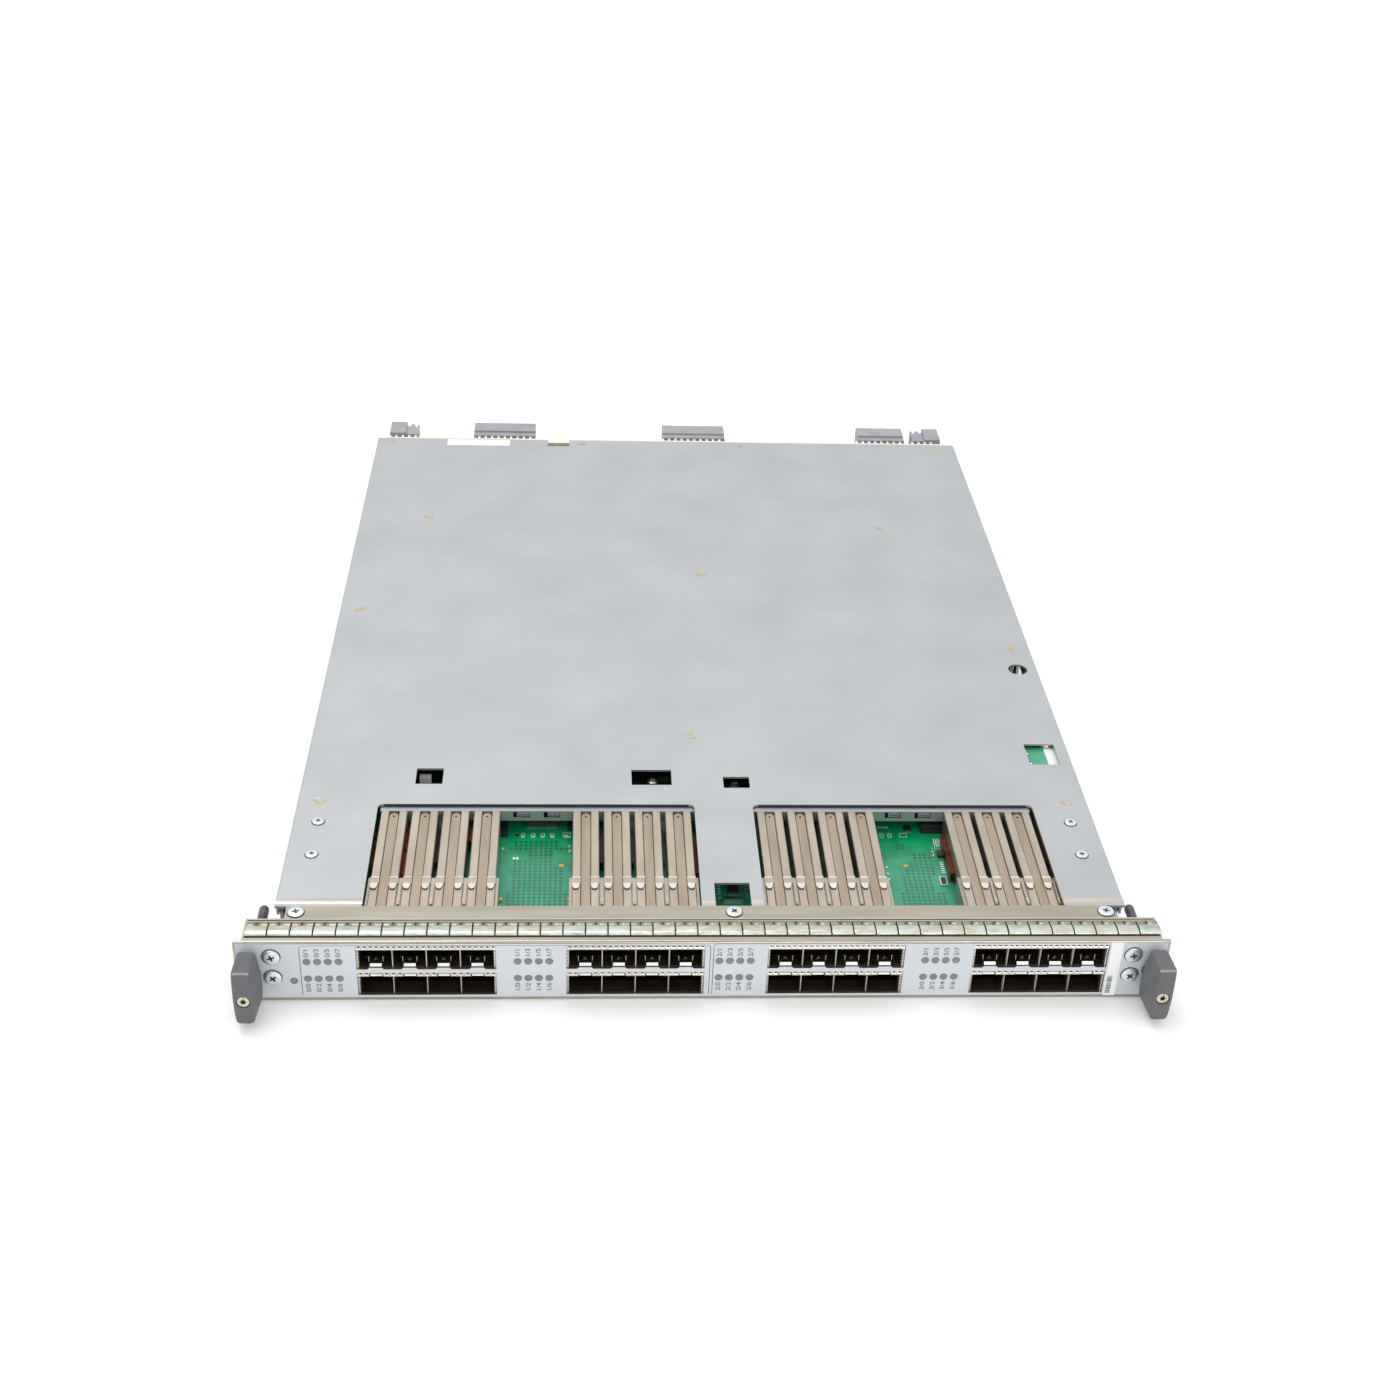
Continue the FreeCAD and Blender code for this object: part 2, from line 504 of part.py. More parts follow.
def make_cross_bar():
    """Folded bar behind the channels: a front wall with windows and a top flange."""
    body = new_body("cage_cross_bar")
    front = "Sizes.channel_end"
    rear = "(%s + Sizes.bar_depth)" % front
    high = "(%s + Sizes.channel_rise)" % CAGE_TOP
    section = side_sketch(body, "(Sizes.cut_one_left + Sizes.cut_two_right) / 2")
    low, under = "%s - Sizes.bar_height" % high, "%s - Sizes.bar_wall" % high
    inside = "%s + Sizes.bar_wall" % front
    outline(section, [(front, low), (inside, low), (inside, under), (rear, under), (rear, high),
                      (front, high)])
    pad(body, section, "Sizes.cut_two_right - Sizes.cut_one_left - 2 * Sizes.bar_margin", both=True)
    windows = front_sketch(body, front)
    sill = "%s - Sizes.bar_wall - Sizes.bar_window_rim" % high
    first = "Sizes.first_bank + Sizes.bank_pitch / 2"
    for gap in (first, first + " + Sizes.pair_pitch"):
        for side in ("-1", "1"):
            centre = "%s + %s * Sizes.bar_window_pitch / 2" % (gap, side)
            rectangle(windows, "%s - Sizes.bar_window / 2" % centre, "%s + Sizes.bar_window / 2" % centre,
                      "%s - Sizes.bar_window_height" % sill, sill)
    pocket(body, windows, "Sizes.bar_wall + 1")
    return body


def make_light_pipes(label, centre, status=False):
    """Clear moulding: round lamp ends through the faceplate and a carrier behind it."""
    body = new_body(label)
    rods = front_sketch(body, "-Sizes.lamp_proud")
    places = lamp_places(centre)
    if status:
        places.append(("Sizes.status_lamp_x", "Sizes.status_lamp_z"))
    for across, up in places:
        circle(rods, across, up, "Sizes.lamp_bore - 2 * Sizes.lamp_clearance")
    pad(body, rods, "Sizes.lamp_reach + Sizes.lamp_proud", backward=True)
    carrier = front_sketch(body, "Sizes.carrier_start")
    middle = "%s - Sizes.lamp_offset" % centre
    left = "Sizes.status_lamp_x" if status else "%s - 1.5 * Sizes.lamp_pitch" % middle
    low = "Sizes.status_lamp_z" if status else "Sizes.lamp_lower"
    rectangle(carrier, "%s - Sizes.lamp_rim" % left, "%s + 1.5 * Sizes.lamp_pitch + Sizes.lamp_rim" % middle,
              "%s - Sizes.lamp_rim" % low, "Sizes.lamp_upper + Sizes.lamp_rim")
    pad(body, carrier, "Sizes.lamp_carrier", backward=True)
    return body


def post_places():
    return ["-Sizes.post_x", "Sizes.post_middle", "Sizes.post_x"]


def stud_places():
    """All cover studs as pairs of expressions: six inside and three along each side."""
    places = [("Sizes.cover_stud_%d_x" % number, "Sizes.cover_stud_%d_y" % number)
              for number in range(1, len(INNER_STUDS) + 1)]
    places += [("-Sizes.side_stud_x", "Sizes.left_stud_%d" % number) for number in range(1, 4)]
    places += [("Sizes.side_stud_x", "Sizes.right_stud_%d" % number) for number in range(1, 4)]
    return places


def make_board():
    body = new_body("main_board")
    edge = plan_sketch(body, BOARD_BOTTOM)
    rectangle(edge, "-Sizes.board_width / 2", "Sizes.board_width / 2",
              "Sizes.board_front", "Sizes.board_rear")
    pad(body, edge, "Sizes.board_thickness")
    holes = plan_sketch(body, BOARD_TOP)
    for across, back in stud_places():
        circle(holes, across, back, "Sizes.board_hole")
    pocket(body, holes, "Sizes.board_thickness")
    return body


def cover_screw_places():
    return [("%s * Sizes.cover_screw_x" % side, "Sizes.cover_screw_" + end)
            for side in ("-1", "1") for end in ("front", "rear")]


def make_cover():
    """Folded sheet: top, side skirts and front lip, with the large cut-outs over the cages."""
    body = new_body("top_cover")
    half, top, wall = "Sizes.cover_width / 2", "Sizes.cover_top", "Sizes.cover_wall"
    section = front_sketch(body, "Sizes.cover_front")
    skirt = "%s - Sizes.cover_skirt" % top
    inner = "(%s - %s)" % (half, wall)
    outline(section, [("-" + half, skirt), ("-" + inner, skirt), ("-" + inner, COVER_UNDER),
                      (inner, COVER_UNDER), (inner, skirt), (half, skirt), (half, top), ("-" + half, top)])
    pad(body, section, "Sizes.cover_rear - Sizes.cover_front", backward=True)
    lip = front_sketch(body, "Sizes.cover_front")
    end = "(Sizes.bracket_web - Sizes.bracket_wall - 0.3)"
    for left, right in (("-" + end, "Sizes.cut_one_left"), ("Sizes.cut_one_right", "Sizes.cut_two_left"),
                        ("Sizes.bracket_web - Sizes.bracket_top + 0.5", end)):
        rectangle(lip, left, right, "%s - Sizes.cover_front_lip" % top, COVER_UNDER)
    pad(body, lip, wall, backward=True)
    cuts = plan_sketch(body, top)
    for name in ("one", "two"):
        rectangle(cuts, "Sizes.cut_%s_left" % name, "Sizes.cut_%s_right" % name,
                  "Sizes.cover_front - 1", "Sizes.cut_rear")
    for number in range(1, len(COVER_WINDOWS) + 1):
        sides = ["Sizes.window_%d_%s" % (number, side) for side in ("left", "right", "front", "rear")]
        rectangle(cuts, *sides)
    rectangle(cuts, "Sizes.notch_left", "Sizes.notch_right",
              "Sizes.cover_rear - Sizes.notch_depth", "Sizes.cover_rear + 1")
    circle(cuts, "Sizes.round_window_x", "Sizes.round_window_y", "Sizes.round_window")
    for across, back in stud_places():
        circle(cuts, across, back, "Sizes.stud_head + 2 * Sizes.stud_fit")
    for across, back in cover_screw_places():
        circle(cuts, across, back, "Sizes.cover_screw + 2 * Sizes.screw_clearance")
    pocket(body, cuts, "Sizes.cover_front_lip + 1")
    side, high = value_of(half), value_of(top)
    round_edges(body, "Sizes.cover_bend",
                lambda edge, middle: near(abs(middle.x), side) and near(middle.z, high) and edge.Length > 50)
    sides = [value_of("Sizes.cut_%s_%s" % (name, end))
             for name in ("one", "two") for end in ("left", "right")]
    rear = value_of("Sizes.cut_rear")
    round_edges(body, "Sizes.cut_corner",
                lambda edge, middle: near(middle.y, rear) and any(near(middle.x, side) for side in sides))
    return body


def make_tray():
    """Folded sheet: floor and side walls, with a row of air slots in each wall."""
    body = new_body("base_tray")
    outer = "(Sizes.cover_width / 2 - Sizes.cover_wall - Sizes.tray_gap)"
    inner = "(%s - Sizes.tray_wall)" % outer
    floor = plan_sketch(body)
    rectangle(floor, "-" + outer, outer, "Sizes.tray_front", "Sizes.cover_rear")
    pad(body, floor, "Sizes.tray_wall")
    walls = front_sketch(body, "Sizes.wall_front")
    for side in ("-1", "1"):
        rectangle(walls, "%s * %s" % (side, outer), "%s * %s" % (side, inner), "Sizes.tray_wall",
                  "%s - Sizes.tray_gap" % COVER_UNDER)
    pad(body, walls, "Sizes.cover_rear - Sizes.wall_front", backward=True)
    vent = side_sketch(body)
    rectangle(vent, "Sizes.vent_first", "Sizes.vent_first + Sizes.vent_length", "Sizes.vent_sill",
              "Sizes.vent_sill + Sizes.vent_height")
    cut = pocket(body, vent, "Sizes.cover_width + 10", both=True)
    row(body, cut, "Y_Axis", "Sizes.vent_pitch", "Sizes.vent_count")
    return body


def make_round_group(label, places, steps, sketch_at):
    """Identical turned pieces: each step is a diameter, a start and a length along the sketch's normal."""
    body = new_body(label)
    for diameter, start, length in steps:
        sketch = sketch_at(body, start)
        for across, up in places:
            circle(sketch, across, up, diameter)
        pad(body, sketch, length, backward=sketch_at is front_sketch)
    return body


def make_fasteners():
    """Every group of like screws, studs, posts and spacers."""
    posts = [(across, "Sizes.post_y") for across in post_places()]
    flange_top = "(Sizes.panel_height - Sizes.flange_drop)"
    flange_under = "(%s - Sizes.panel_wall)" % flange_top
    grip = "0.6 * Sizes.board_thickness"
    screws_panel = make_round_group("panel_screws", panel_screw_places(), [
        ("Sizes.panel_head", "-Sizes.film - Sizes.panel_head_height", "Sizes.panel_head_height"),
        ("Sizes.panel_screw", "-Sizes.film", "Sizes.panel_screw_reach")], front_sketch)
    face = -value_of("Sizes.film + Sizes.panel_head_height")
    round_edges(screws_panel, "Sizes.panel_head_height * 0.7", lambda edge, middle: near(middle.y, face))
    screws_flange = make_round_group("flange_screws", posts, [
        ("Sizes.flange_head", flange_top, "Sizes.flange_head_height"),
        ("Sizes.flange_screw", "%s - 5" % flange_top, "5")], plan_sketch)
    crown = value_of("%s + Sizes.flange_head_height" % flange_top)
    round_edges(screws_flange, "Sizes.flange_head_height * 0.7", lambda edge, middle: near(middle.z, crown))
    screws_cover = make_round_group("cover_screws", cover_screw_places(), [
        ("Sizes.cover_head", "Sizes.cover_top", "Sizes.cover_head_height"),
        ("Sizes.cover_screw", "%s - Sizes.bracket_wall - 1.5" % COVER_UNDER,
         "Sizes.bracket_wall + 1.5 + Sizes.cover_wall")], plan_sketch)
    high = value_of("Sizes.cover_top + Sizes.cover_head_height")
    round_edges(screws_cover, "Sizes.cover_head_height * 0.7", lambda edge, middle: near(middle.z, high))
    make_round_group("cover_studs", stud_places(), [
        ("Sizes.board_hole", "%s - %s" % (BOARD_TOP, grip), grip),
        ("Sizes.stud_body", BOARD_TOP, "%s - %s" % (COVER_UNDER, BOARD_TOP)),
        ("Sizes.stud_head", COVER_UNDER, "Sizes.cover_wall")], plan_sketch)
    make_round_group("board_standoffs", stud_places(), [
        ("Sizes.spacer_body", "Sizes.tray_wall", "%s - Sizes.tray_wall" % BOARD_BOTTOM)], plan_sketch)
    flange_posts = make_round_group("flange_posts", posts, [
        ("Sizes.post_body", BOARD_TOP, "%s - %s" % (flange_under, BOARD_TOP))], plan_sketch)
    taps = plan_sketch(flange_posts, flange_under)
    for across, back in posts:
        circle(taps, across, back, "Sizes.flange_screw")
    pocket(flange_posts, taps, "5")
    bushings = make_round_group("shaft_bushings", [("-Sizes.knob_spacing / 2", "Sizes.knob_axis_z"),
                                                   ("Sizes.knob_spacing / 2", "Sizes.knob_axis_z")], [
        ("Sizes.bushing_outer", "0", "Sizes.bushing_length + Sizes.panel_wall"),
        ("Sizes.bushing_rim", "Sizes.panel_wall", "Sizes.bushing_rim_thickness")], front_sketch)
    bores = front_sketch(bushings)
    for side in ("-0.5", "0.5"):
        circle(bores, "%s * Sizes.knob_spacing" % side, "Sizes.knob_axis_z",
               "Sizes.shaft + 2 * Sizes.running_fit")
    pocket(bushings, bores, "Sizes.bushing_length + Sizes.panel_wall")


def make_bracket(label, side):
    """Folded angle: foot behind the panel screws, web on the tray's floor, top leg under the cover."""
    body = new_body(label)
    wall, web = "Sizes.bracket_wall", "Sizes.bracket_web"
    low, high = "Sizes.tray_wall", COVER_UNDER
    flange_under = "(Sizes.panel_height - Sizes.panel_wall - Sizes.flange_drop)"
    foot = front_sketch(body, "Sizes.panel_wall")
    rectangle(foot, "%s * (%s - %s)" % (side, web, wall),
              "%s * (Sizes.panel_screw_x + Sizes.bracket_foot)" % side, low, "%s - 0.3" % flange_under)
    pad(body, foot, wall, backward=True)
    joint = front_sketch(body, "Sizes.panel_wall")
    rectangle(joint, "%s * %s" % (side, web), "%s * (%s - %s)" % (side, web, wall),
              low, "%s - 0.3" % flange_under)
    pad(body, joint, "Sizes.cover_front + Sizes.cover_wall + 0.3 - Sizes.panel_wall", backward=True)
    legs = front_sketch(body, "Sizes.cover_front + Sizes.cover_wall + 0.3")
    outline(legs, [("%s * %s" % (side, web), low), ("%s * %s" % (side, web), high),
                   ("%s * (%s - Sizes.bracket_top)" % (side, web), high),
                   ("%s * (%s - Sizes.bracket_top)" % (side, web), "%s - %s" % (high, wall)),
                   ("%s * (%s - %s)" % (side, web, wall), "%s - %s" % (high, wall)),
                   ("%s * (%s - %s)" % (side, web, wall), low)])
    pad(body, legs, "Sizes.bracket_rear - Sizes.cover_front - Sizes.cover_wall - 0.3", backward=True)
    holes = front_sketch(body, "Sizes.panel_wall")
    for level in ("high", "low"):
        circle(holes, "%s * Sizes.panel_screw_x" % side, "Sizes.panel_screw_" + level, "Sizes.panel_screw")
    pocket(body, holes, "Sizes.panel_screw_reach")
    taps = plan_sketch(body, high)
    for end in ("front", "rear"):
        circle(taps, "%s * Sizes.cover_screw_x" % side, "Sizes.cover_screw_" + end, "Sizes.cover_screw")
    pocket(body, taps, wall)
    return body


def ejector_body(label, side):
    return new_body(label, x="%s * Sizes.knob_spacing / 2" % side, z="Sizes.knob_axis_z")


def knob_outline(sketch, belly):
    """The handle seen from the front: narrow ends, and sides that swell round the jackscrew."""
    end, corner, foot_corner = "Sizes.knob_width / 2", "Sizes.knob_corner", "Sizes.knob_foot_corner"
    swell = "(%s - Sizes.knob_width) / 2" % belly
    right = [("%s - %s" % (end, foot_corner), "-Sizes.knob_down"),
             (end, "%s - Sizes.knob_down" % foot_corner)]
    for share, level in (("0.8", "-0.45 * Sizes.knob_down"), ("1", "0"), ("0.8", "0.36 * Sizes.knob_up"),
                         ("0.45", "0.64 * Sizes.knob_up")):
        right.append(("%s + %s * %s" % (end, share, swell), level))
    right += [(end, "Sizes.knob_up - %s" % corner), ("%s - %s" % (end, corner), "Sizes.knob_up")]
    outline(sketch, right + [("-(%s)" % across, level) for across, level in right[::-1]])


def make_knob(label, side):
    """Moulded handle: a flat front whose sides swell towards the back, on a round collar."""
    body = ejector_body(label, side)
    front = "-(Sizes.knob_gap + Sizes.knob_depth)"
    back_outline = front_sketch(body, "-Sizes.knob_gap")
    knob_outline(back_outline, "Sizes.knob_belly")
    front_outline = front_sketch(body, front)
    knob_outline(front_outline, "Sizes.knob_width + 0.2")
    blade = body.newObject("PartDesign::AdditiveLoft", "Blade")
    blade.Profile = back_outline
    blade.Sections = [front_outline]
    blade.Ruled = True
    face = value_of(front)
    round_edges(body, "Sizes.knob_round", lambda edge, middle: near(middle.y, face))
    collar = front_sketch(body, "-Sizes.knob_gap - 1")
    circle(collar, "0", "0", "Sizes.collar_diameter")
    pad(body, collar, "Sizes.knob_gap + 1 - Sizes.collar_gap", backward=True)
    bore = front_sketch(body, "0")
    circle(bore, "0", "0", "Sizes.shaft")
    pocket(body, bore, "Sizes.knob_gap + Sizes.shaft_grip", backward=True)
    clearance = front_sketch(body, front)
    circle(clearance, "0", "0", "Sizes.knob_screw + 2 * Sizes.screw_clearance")
    pocket(body, clearance, "Sizes.knob_depth")
    seat = front_sketch(body, front)
    circle(seat, "0", "0", "Sizes.knob_head + 2 * Sizes.screw_clearance")
    pocket(body, seat, "Sizes.head_recess + Sizes.knob_head_height")
    return body


def make_knob_screw(label, side):
    """Flush screw that clamps the knob on the jackscrew."""
    body = ejector_body(label, side)
    face = "(Sizes.head_recess - Sizes.knob_gap - Sizes.knob_depth)"
    head = front_sketch(body, face)
    circle(head, "0", "0", "Sizes.knob_head")
    pad(body, head, "Sizes.knob_head_height", backward=True)
    shank = front_sketch(body, face)
    circle(shank, "0", "0", "Sizes.knob_screw")
    reach = "Sizes.knob_depth - Sizes.head_recess - Sizes.shaft_grip + Sizes.tap_depth - 0.5"
    pad(body, shank, reach, backward=True)
    return body


def make_jackscrew(label, side):
    """Turned shaft, revolved: grip in the knob, shoulder behind the bushing and a round nose."""
    body = ejector_body(label, side)
    start, reach, radius = "(-Sizes.knob_gap - Sizes.shaft_grip)", "Sizes.shaft_reach", "Sizes.shaft / 2"
    tap = "Sizes.knob_screw / 2"
    shoulder_end = "(Sizes.shoulder_start + Sizes.shoulder_length)"
    profile = side_sketch(body)
    grip = [("%s + Sizes.tap_depth" % start, "0"), ("%s + Sizes.tap_depth" % start, tap), (start, tap),
            (start, radius)]
    shoulder = [("Sizes.shoulder_start", radius), ("Sizes.shoulder_start", "Sizes.shoulder / 2"),
                (shoulder_end, "Sizes.shoulder / 2"), (shoulder_end, radius)]
    nose = [("%s - %s * %s" % (reach, back, radius), "%s * %s" % (share, radius))
            for back, share in (("0.9", "1"), ("0.55", "0.9"), ("0.2", "0.65"), ("0", "0.3"))]
    outline(profile, grip + shoulder + nose + [(reach, "0")])
    turn = body.newObject("PartDesign::Revolution", "Turned")
    turn.Profile = profile
    turn.ReferenceAxis = (profile, ["H_Axis"])
    turn.Angle = 360
    return body


def make_connector(label, place):
    """Backplane receptacle: stepped housing with a row of contact slots in its rear face."""
    body = new_body(label, x="Sizes.connector_%s_x" % place)
    width = "Sizes.connector_%s_width" % place
    front, rear = "Sizes.connector_front", "(Sizes.connector_front + Sizes.connector_depth)"
    low, high = "Sizes.connector_bottom", "Sizes.connector_top"
    section = side_sketch(body)
    outline(section, [(front, low), (rear, low), (rear, high), ("%s + Sizes.connector_step" % front, high),
                      ("%s + Sizes.connector_step" % front, "%s - Sizes.connector_drop" % high),
                      (front, "%s - Sizes.connector_drop" % high)])
    pad(body, section, width, both=True)
    slot = front_sketch(body, rear)
    count = "floor((%s - 2) / Sizes.slot_pitch)" % width
    first = "(-Sizes.slot_pitch * (%s - 1) / 2)" % count
    rectangle(slot, "%s - Sizes.slot_width / 2" % first, "%s + Sizes.slot_width / 2" % first,
              "%s + Sizes.slot_margin" % low, "%s - Sizes.slot_margin" % high)
    cut = pocket(body, slot, "Sizes.slot_depth", backward=True)
    row(body, cut, "X_Axis", "Sizes.slot_pitch", count)
    return body


def make_guide_block(label, side):
    """Guide socket for a backplane pin, with a forked key beside it."""
    body = new_body(label)
    front, rear = "Sizes.connector_front", "(Sizes.connector_front + Sizes.connector_depth)"
    left, right = "(Sizes.guide_x - Sizes.guide_width / 2)", "(Sizes.guide_x + Sizes.guide_width / 2)"
    block = front_sketch(body, front)
    rectangle(block, "%s * %s" % (side, left), "%s * %s" % (side, right),
              "Sizes.connector_bottom", "Sizes.connector_top")
    pad(body, block, "Sizes.connector_depth", backward=True)
    key = plan_sketch(body, "Sizes.connector_bottom")
    reach = "(%s - Sizes.guide_key)" % left
    outline(key, [("%s * %s" % (side, left), front), ("%s * %s" % (side, reach), front),
                  ("%s * (%s + 0.4)" % (side, reach), rear),
                  ("%s * (%s + 2)" % (side, reach), "%s - 6" % rear),
                  ("%s * (%s + 4)" % (side, reach), rear),
                  ("%s * (%s - 1.5)" % (side, left), "%s - 5" % rear),
                  ("%s * %s" % (side, left), "%s - 4" % rear)])
    pad(body, key, "Sizes.connector_top - Sizes.connector_bottom - 1")
    bore = front_sketch(body, rear)
    circle(bore, "%s * Sizes.guide_x" % side, "Sizes.board_middle", "Sizes.guide_bore")
    pocket(body, bore, "Sizes.connector_depth - Sizes.guide_lead", backward=True)
    return body


def make_pin_strip():
    """Strip along the board's rear edge with a comb of short teeth towards the backplane."""
    body = new_body("pin_strip")
    low, high = "Sizes.board_middle - Sizes.strip_height / 2", "Sizes.connector_top - 1.5"
    front = "(Sizes.board_rear + 0.2)"
    rear = "(%s + Sizes.strip_depth)" % front
    strip = plan_sketch(body, low)
    rectangle(strip, "-Sizes.strip_width / 2", "Sizes.strip_width / 2", front, rear)
    pad(body, strip, "%s - (%s)" % (high, low))
    tooth = plan_sketch(body, "%s - Sizes.tooth_height" % high)
    first = "(-Sizes.strip_width / 2 + 1)"
    rectangle(tooth, first, "%s + Sizes.tooth_width" % first,
              "%s - 0.5" % rear, "%s + Sizes.tooth_length" % rear)
    teeth = pad(body, tooth, "Sizes.tooth_height")
    row(body, teeth, "X_Axis", "Sizes.tooth_pitch", "floor((Sizes.strip_width - 2) / Sizes.tooth_pitch)")
    return body


def make_heat_sink(label, side):
    """Finned sink on a package soldered to the board."""
    body = new_body(label, x="%s * Sizes.sink_x" % side)
    base_top = "(%s + Sizes.package_height + Sizes.sink_base)" % BOARD_TOP
    half = "Sizes.sink_width / 2"
    package = plan_sketch(body, BOARD_TOP)
    rectangle(package, "-0.6 * " + half, "0.6 * " + half,
              "Sizes.sink_y - 0.6 * " + half, "Sizes.sink_y + 0.6 * " + half)
    pad(body, package, "Sizes.package_height")
    base = plan_sketch(body, "%s + Sizes.package_height" % BOARD_TOP)
    low, high = "Sizes.sink_y - Sizes.sink_depth / 2", "Sizes.sink_y + Sizes.sink_depth / 2"
    rectangle(base, "-" + half, half, low, high)
    pad(body, base, "Sizes.sink_base")
    fin = plan_sketch(body, base_top)
    rectangle(fin, "-" + half, "Sizes.fin_wall - " + half, low, high)
    fins = pad(body, fin, "Sizes.sink_top - " + base_top)
    spacing = "(Sizes.sink_width - Sizes.fin_wall) / (Sizes.fin_count - 1)"
    row(body, fins, "X_Axis", spacing, "Sizes.fin_count")
    return body


def make_card():
    make_faceplate()
    make_film()
    make_gasket()
    banks = bank_places()
    for number, centre in enumerate(banks, 1):
        make_cage_bank("upper_cage_bank_%d" % number, centre, "1")
        make_cage_bank("lower_cage_bank_%d" % number, centre, "-1")
        make_light_pipes("light_pipe_array_%d" % number, centre, status=number == 1)
    columns = [column for centre in banks for column in column_places(centre)]
    for number, centre in enumerate(columns, 1):
        make_channel("cage_channel_%02d" % number, centre)
    make_cross_bar()
    make_board()
    make_cover()
    make_tray()
    make_fasteners()
    make_pin_strip()
    for name in ("left", "middle", "right"):
        make_connector("backplane_connector_" + name, name)
    for name, side in (("left", "-1"), ("right", "1")):
        make_bracket(name + "_side_bracket", side)
        make_knob(name + "_knob", side)
        make_knob_screw(name + "_knob_screw", side)
        make_jackscrew(name + "_jackscrew", side)
        make_guide_block("guide_block_" + name, side)
        make_heat_sink("heat_sink_" + name, side)


def write_parts():
    """Check every object and every sub-part's shape, then write one file for each sub-part."""
    doc.recompute()
    failed = [item.Label for item in doc.Objects if "Invalid" in item.State or "Error" in item.State]
    bodies = [item for item in doc.Objects if item.TypeId == "PartDesign::Body"]
    failed += [body.Label for body in bodies if body.Shape.isNull() or not body.Shape.isValid()]
    if failed:
        raise RuntimeError("failed: " + ", ".join(failed))
    os.makedirs("parts", exist_ok=True)
    for body in bodies:
        body.Shape.exportStep(os.path.join("parts", body.Label + ".step"))
        print(body.Label, len(body.Shape.Solids), "solids", round(body.Shape.Volume), "mm3")


fill_sheet()
make_card()
write_parts()
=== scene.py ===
import math
import random

import bmesh
import bpy
from mathutils import Matrix, Vector


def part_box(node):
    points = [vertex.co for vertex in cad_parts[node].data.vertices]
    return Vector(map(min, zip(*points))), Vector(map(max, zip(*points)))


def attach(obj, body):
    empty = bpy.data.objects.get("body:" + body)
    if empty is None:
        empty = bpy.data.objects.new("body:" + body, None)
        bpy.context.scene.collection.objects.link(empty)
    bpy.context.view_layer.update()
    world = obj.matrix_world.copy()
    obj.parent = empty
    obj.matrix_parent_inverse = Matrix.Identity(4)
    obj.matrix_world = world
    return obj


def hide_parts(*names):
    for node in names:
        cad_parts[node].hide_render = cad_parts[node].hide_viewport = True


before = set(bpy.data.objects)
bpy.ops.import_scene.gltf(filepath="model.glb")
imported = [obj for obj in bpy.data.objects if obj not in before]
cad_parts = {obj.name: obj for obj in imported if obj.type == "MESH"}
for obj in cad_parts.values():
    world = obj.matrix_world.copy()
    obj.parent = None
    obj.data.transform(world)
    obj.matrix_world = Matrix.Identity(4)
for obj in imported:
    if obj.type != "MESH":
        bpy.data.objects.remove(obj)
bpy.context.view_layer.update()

# Card millimetres: X to the right, Y back from the faceplate's front face, Z up from the
# surface that the card lies on. MM and FRONT take them to the frame's metres.
MM = 0.001
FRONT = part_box("faceplate")[0].y / MM
TO_FRAME = Matrix.Translation((0, FRONT * MM, 0)) @ Matrix.Diagonal((MM, MM, MM, 1))

BANKS = [-118.95, -30.6, 54.95, 143.3]          # centre of each group of eight ports
PORT_PITCH = 14.25
FOUR = (-1.5, -0.5, 0.5, 1.5)                    # four in a row about their middle, in pitches
COLUMNS = [bank + step * PORT_PITCH for bank in BANKS for step in FOUR]
LAMP_SHIFT, LAMP_PITCH = 43.3, 4.45             # a group's lamps stand this far left of its centre
STATUS_LAMP = (-174.8, 11.1)
FILM_FACE = -0.2                                # front of the printed film
LIP_TOP = 31.75                                 # top of the faceplate's upper lip
BOARD_MIDDLE = 15.15
BOARD_TOP = 16.35
COVER_TOP = 30.5
# The cover's front edge runs between its cut-outs.
COVER_FRONTS = ((-185.1, -148.1), (-1.5, 4.6), (20.2, 25.8), (158.2, 185.1))
KNOB_X, KNOB_Z = 192.8, 16.2
GASKET_PITCH, FINGERS = 9.53, 41                # three-eighths of an inch, as spring strip is sold
# Pressed channels: half widths of the pressing and of its sunk middle, and their levels.
CHANNEL_HALF, CHANNEL_GROOVE = 6.02, 2.0
CHANNEL_TOP, CHANNEL_SUNK, CHANNEL_BASE = 28.85, 28.15, 27.4


# ---------------------------------------------------------------- materials

def linear(code):
    """An sRGB hex code as a linear colour."""
    channels = [int(code[start:start + 2], 16) / 255 for start in (1, 3, 5)]
    return tuple(c / 12.92 if c <= 0.04045 else ((c + 0.055) / 1.055) ** 2.4 for c in channels) + (1.0,)


def add(tree, kind, inputs=None, **settings):
    """Add one node with its settings, and give each input a value or a link."""
    item = tree.nodes.new(kind)
    for name, value in settings.items():
        setattr(item, name, value)
    for name, value in (inputs or {}).items():
        socket = item.inputs[name]
        if isinstance(value, bpy.types.NodeSocket):
            tree.links.new(value, socket)
        else:
            socket.default_value = value
    return item


def blank(name, **constants):
    """A material with constants on its own shader, and its tree, shader and object coordinates."""
    material = bpy.data.materials.new(name)
    material.use_nodes = True
    tree = material.node_tree
    shader = tree.nodes["Principled BSDF"]
    for key, value in constants.items():
        shader.inputs[key.replace("_", " ")].default_value = value
    place = add(tree, "ShaderNodeTexCoord").outputs["Object"]
    return material, tree, shader, place


def ramp(tree, factor, stops):
    """Colours along a factor: pairs of position and hex code."""
    item = add(tree, "ShaderNodeValToRGB", {"Fac": factor})
    band = item.color_ramp
    while len(band.elements) < len(stops):
        band.elements.new(0.5)
    for element, (position, code) in zip(band.elements, stops):
        element.position = position
        element.color = linear(code)
    return item.outputs["Color"]


